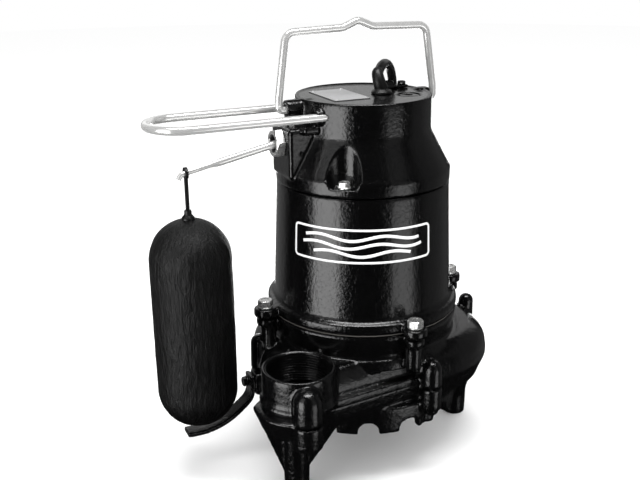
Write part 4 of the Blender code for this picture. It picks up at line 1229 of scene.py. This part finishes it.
def power_cord():
    foot = turned(
        [(0.0, 302.0), (6.6, 302.0), (8.2, 300.6), (8.5, DISC_Z - 1.0)]
        + [(5.2, DISC_Z - 1.2), (5.2, 286.5), (0.0, 286.5)],
        64,
        RELIEF,
    )
    points = [(*RELIEF, 302.0), (13.4, -2.6, 306.5), (12.8, -1.2, 310.5), (13.3, 1.3, 314.15)]
    points = smooth_path([*points, tuple(EXIT - Vector((0.26, 0.26, 0.15)))], 0.8)
    last = len(points) - 1
    boot = tube(points, 5.7, [1.0 - 0.23 * (i / last) ** 0.8 for i in range(last + 1)], 9)
    mesh = cast(fused(foot, boot), 0.55, 4, 0.02)
    piece("cord_relief", mesh, RUBBER, "pump_body", "black_rubber", "strain_relief", sharp=0)

    down = [(*polar(r, angle, COIL), z) for r, angle, z in LANDING]
    rise = [(*polar(r, PLUG_ANGLE - angle, COIL), z) for r, angle, z in RISE]
    neck = plug_place() @ Vector((-21.0, 0.0, 0.0))
    points = smooth_path([*ROUTE, *down, *coil_points(), *rise, neck], 6.0)
    in_frame = [((x + AXIS_X) * MM, y * MM, z * MM) for x, y, z in points]
    curve = bar_curve("supply_cord", in_frame, CORD_R * MM, 5)
    curve.splines[0].use_smooth = True
    curve.materials.append(JACKET)
    cord = bpy.data.objects.new("supply_cord", curve)
    bpy.context.scene.collection.objects.link(cord)
    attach(cord, "pump_body")
    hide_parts("power_cord", "cord_coil")
    return cord


def plug_place():
    """Where the plug lies: on top of the turns, along them."""
    height = cad("plug_body")[0].z + 11.0
    return standing(*polar(COIL_R, PLUG_ANGLE, COIL), height, PLUG_ANGLE + 90.0)


def plug():
    place = plug_place()
    body = block((-8.0, -13.0, -11.0), (16.0, 13.0, 11.0), 4.5, 4)
    neck = moved(rod(5.2, -22.0, -4.0, top_radius=9.5), TO_X)
    grips = [block((-4.0 + 4.0 * k, -13.6, -6.0), (-2.4 + 4.0 * k, 13.6, 6.0), 0.5) for k in range(4)]
    mesh = cast(moved(fused(body, neck, *grips), place), 0.7, 4, 0.02)
    made = [piece("plug_shell", mesh, RUBBER, "pump_body", "black_rubber", "plug_body", sharp=0)]
    for name, side in (("plug_blade_line", 1.0), ("plug_blade_neutral", -1.0)):
        blade = block((15.0, 1.2, side * 6.35 - 0.75), (33.5, 7.5, side * 6.35 + 0.75), 0.3)
        hole = moved(rod(1.5, -3.0, 3.0, (30.0, 4.35)), Matrix.Translation((0.0, 0.0, side * 6.35)))
        mesh = moved(cut(blade, hole), place)
        made.append(piece(name.replace("plug_", "flat_"), mesh, BRASS, "pump_body", "brass", name))
    pin = turned([(0.0, 36.0), (1.2, 35.7), (2.0, 34.9), (2.4, 33.6), (2.4, 15.0), (0.0, 15.0)], 40)
    mesh = moved(pin, place @ Matrix.Translation((0.0, -7.5, 0.0)) @ TO_X)
    made.append(piece("round_pin", mesh, BRASS, "pump_body", "brass", "plug_ground_pin"))
    return made


def tie():
    low, high = cad("coil_tie")
    outer = block(low, high, 1.6, 3)
    inner = block(
        (low.x + 1.2, low.y - 9.0, low.z + 0.15), (high.x - 1.2, high.y + 9.0, high.z - 1.0), 1.0
    )
    return piece("coil_strap", cut(outer, inner), RUBBER, "pump_body", "black_rubber", "coil_tie")


# ---- inner pieces, which keep their CAD shape and take a finish ----

FINISHES = {
    "black_enamel": ENAMEL,
    "black_rubber": RUBBER,
    "bare_iron": metal("bare_iron_turned", (0.3, 0.29, 0.28), 0.5, 0.08, (400.0, 400.0, 400.0), 0.1),
    "stator_steel": laminations(),
    "copper_winding": windings(),
    "bearing_steel": metal("bearing_ground", (0.66, 0.66, 0.68), 0.22, 0.05, (40.0, 40.0, 700.0), 0.02),
    "seal_ceramic": matte("seal_ceramic_face", (0.7, 0.68, 0.62), (0.8, 0.78, 0.72), 0.3),
    "gasket_fibre": matte(
        "gasket_fibre_sheet", (0.05, 0.047, 0.042), (0.1, 0.095, 0.088), 0.8, 900.0, 0.2, 0.8
    ),
    "switch_plastic": matte("switch_case", (0.1, 0.025, 0.02), (0.14, 0.035, 0.028), 0.45),
    "capacitor_shell": matte("capacitor_case", (0.05, 0.05, 0.055), (0.08, 0.08, 0.085), 0.35),
    "zinc_steel": ZINC,
    "brass": BRASS,
}


def finish_cad():
    """Gives each CAD node that still shows the finish of its material slot."""
    slots = {row["node"]: row["material_slot"] for row in frame["record"]["subparts"]}
    for name, node in frame["nodes"].items():
        paint = FINISHES.get(slots.get(name))
        if paint is None:
            continue
        obj = node if isinstance(node, bpy.types.Object) else bpy.data.objects[node]
        for slot in obj.material_slots:
            slot.material = paint


camera()
studio()
cord = power_cord()
on_cord = [*plug(), tie()]
base_casting()
volute()
thread()
housing()
badge()
cover()
fasteners()
gland()
float_gear()
rest_arm()
wires()
disc_fittings()
finish_cad()
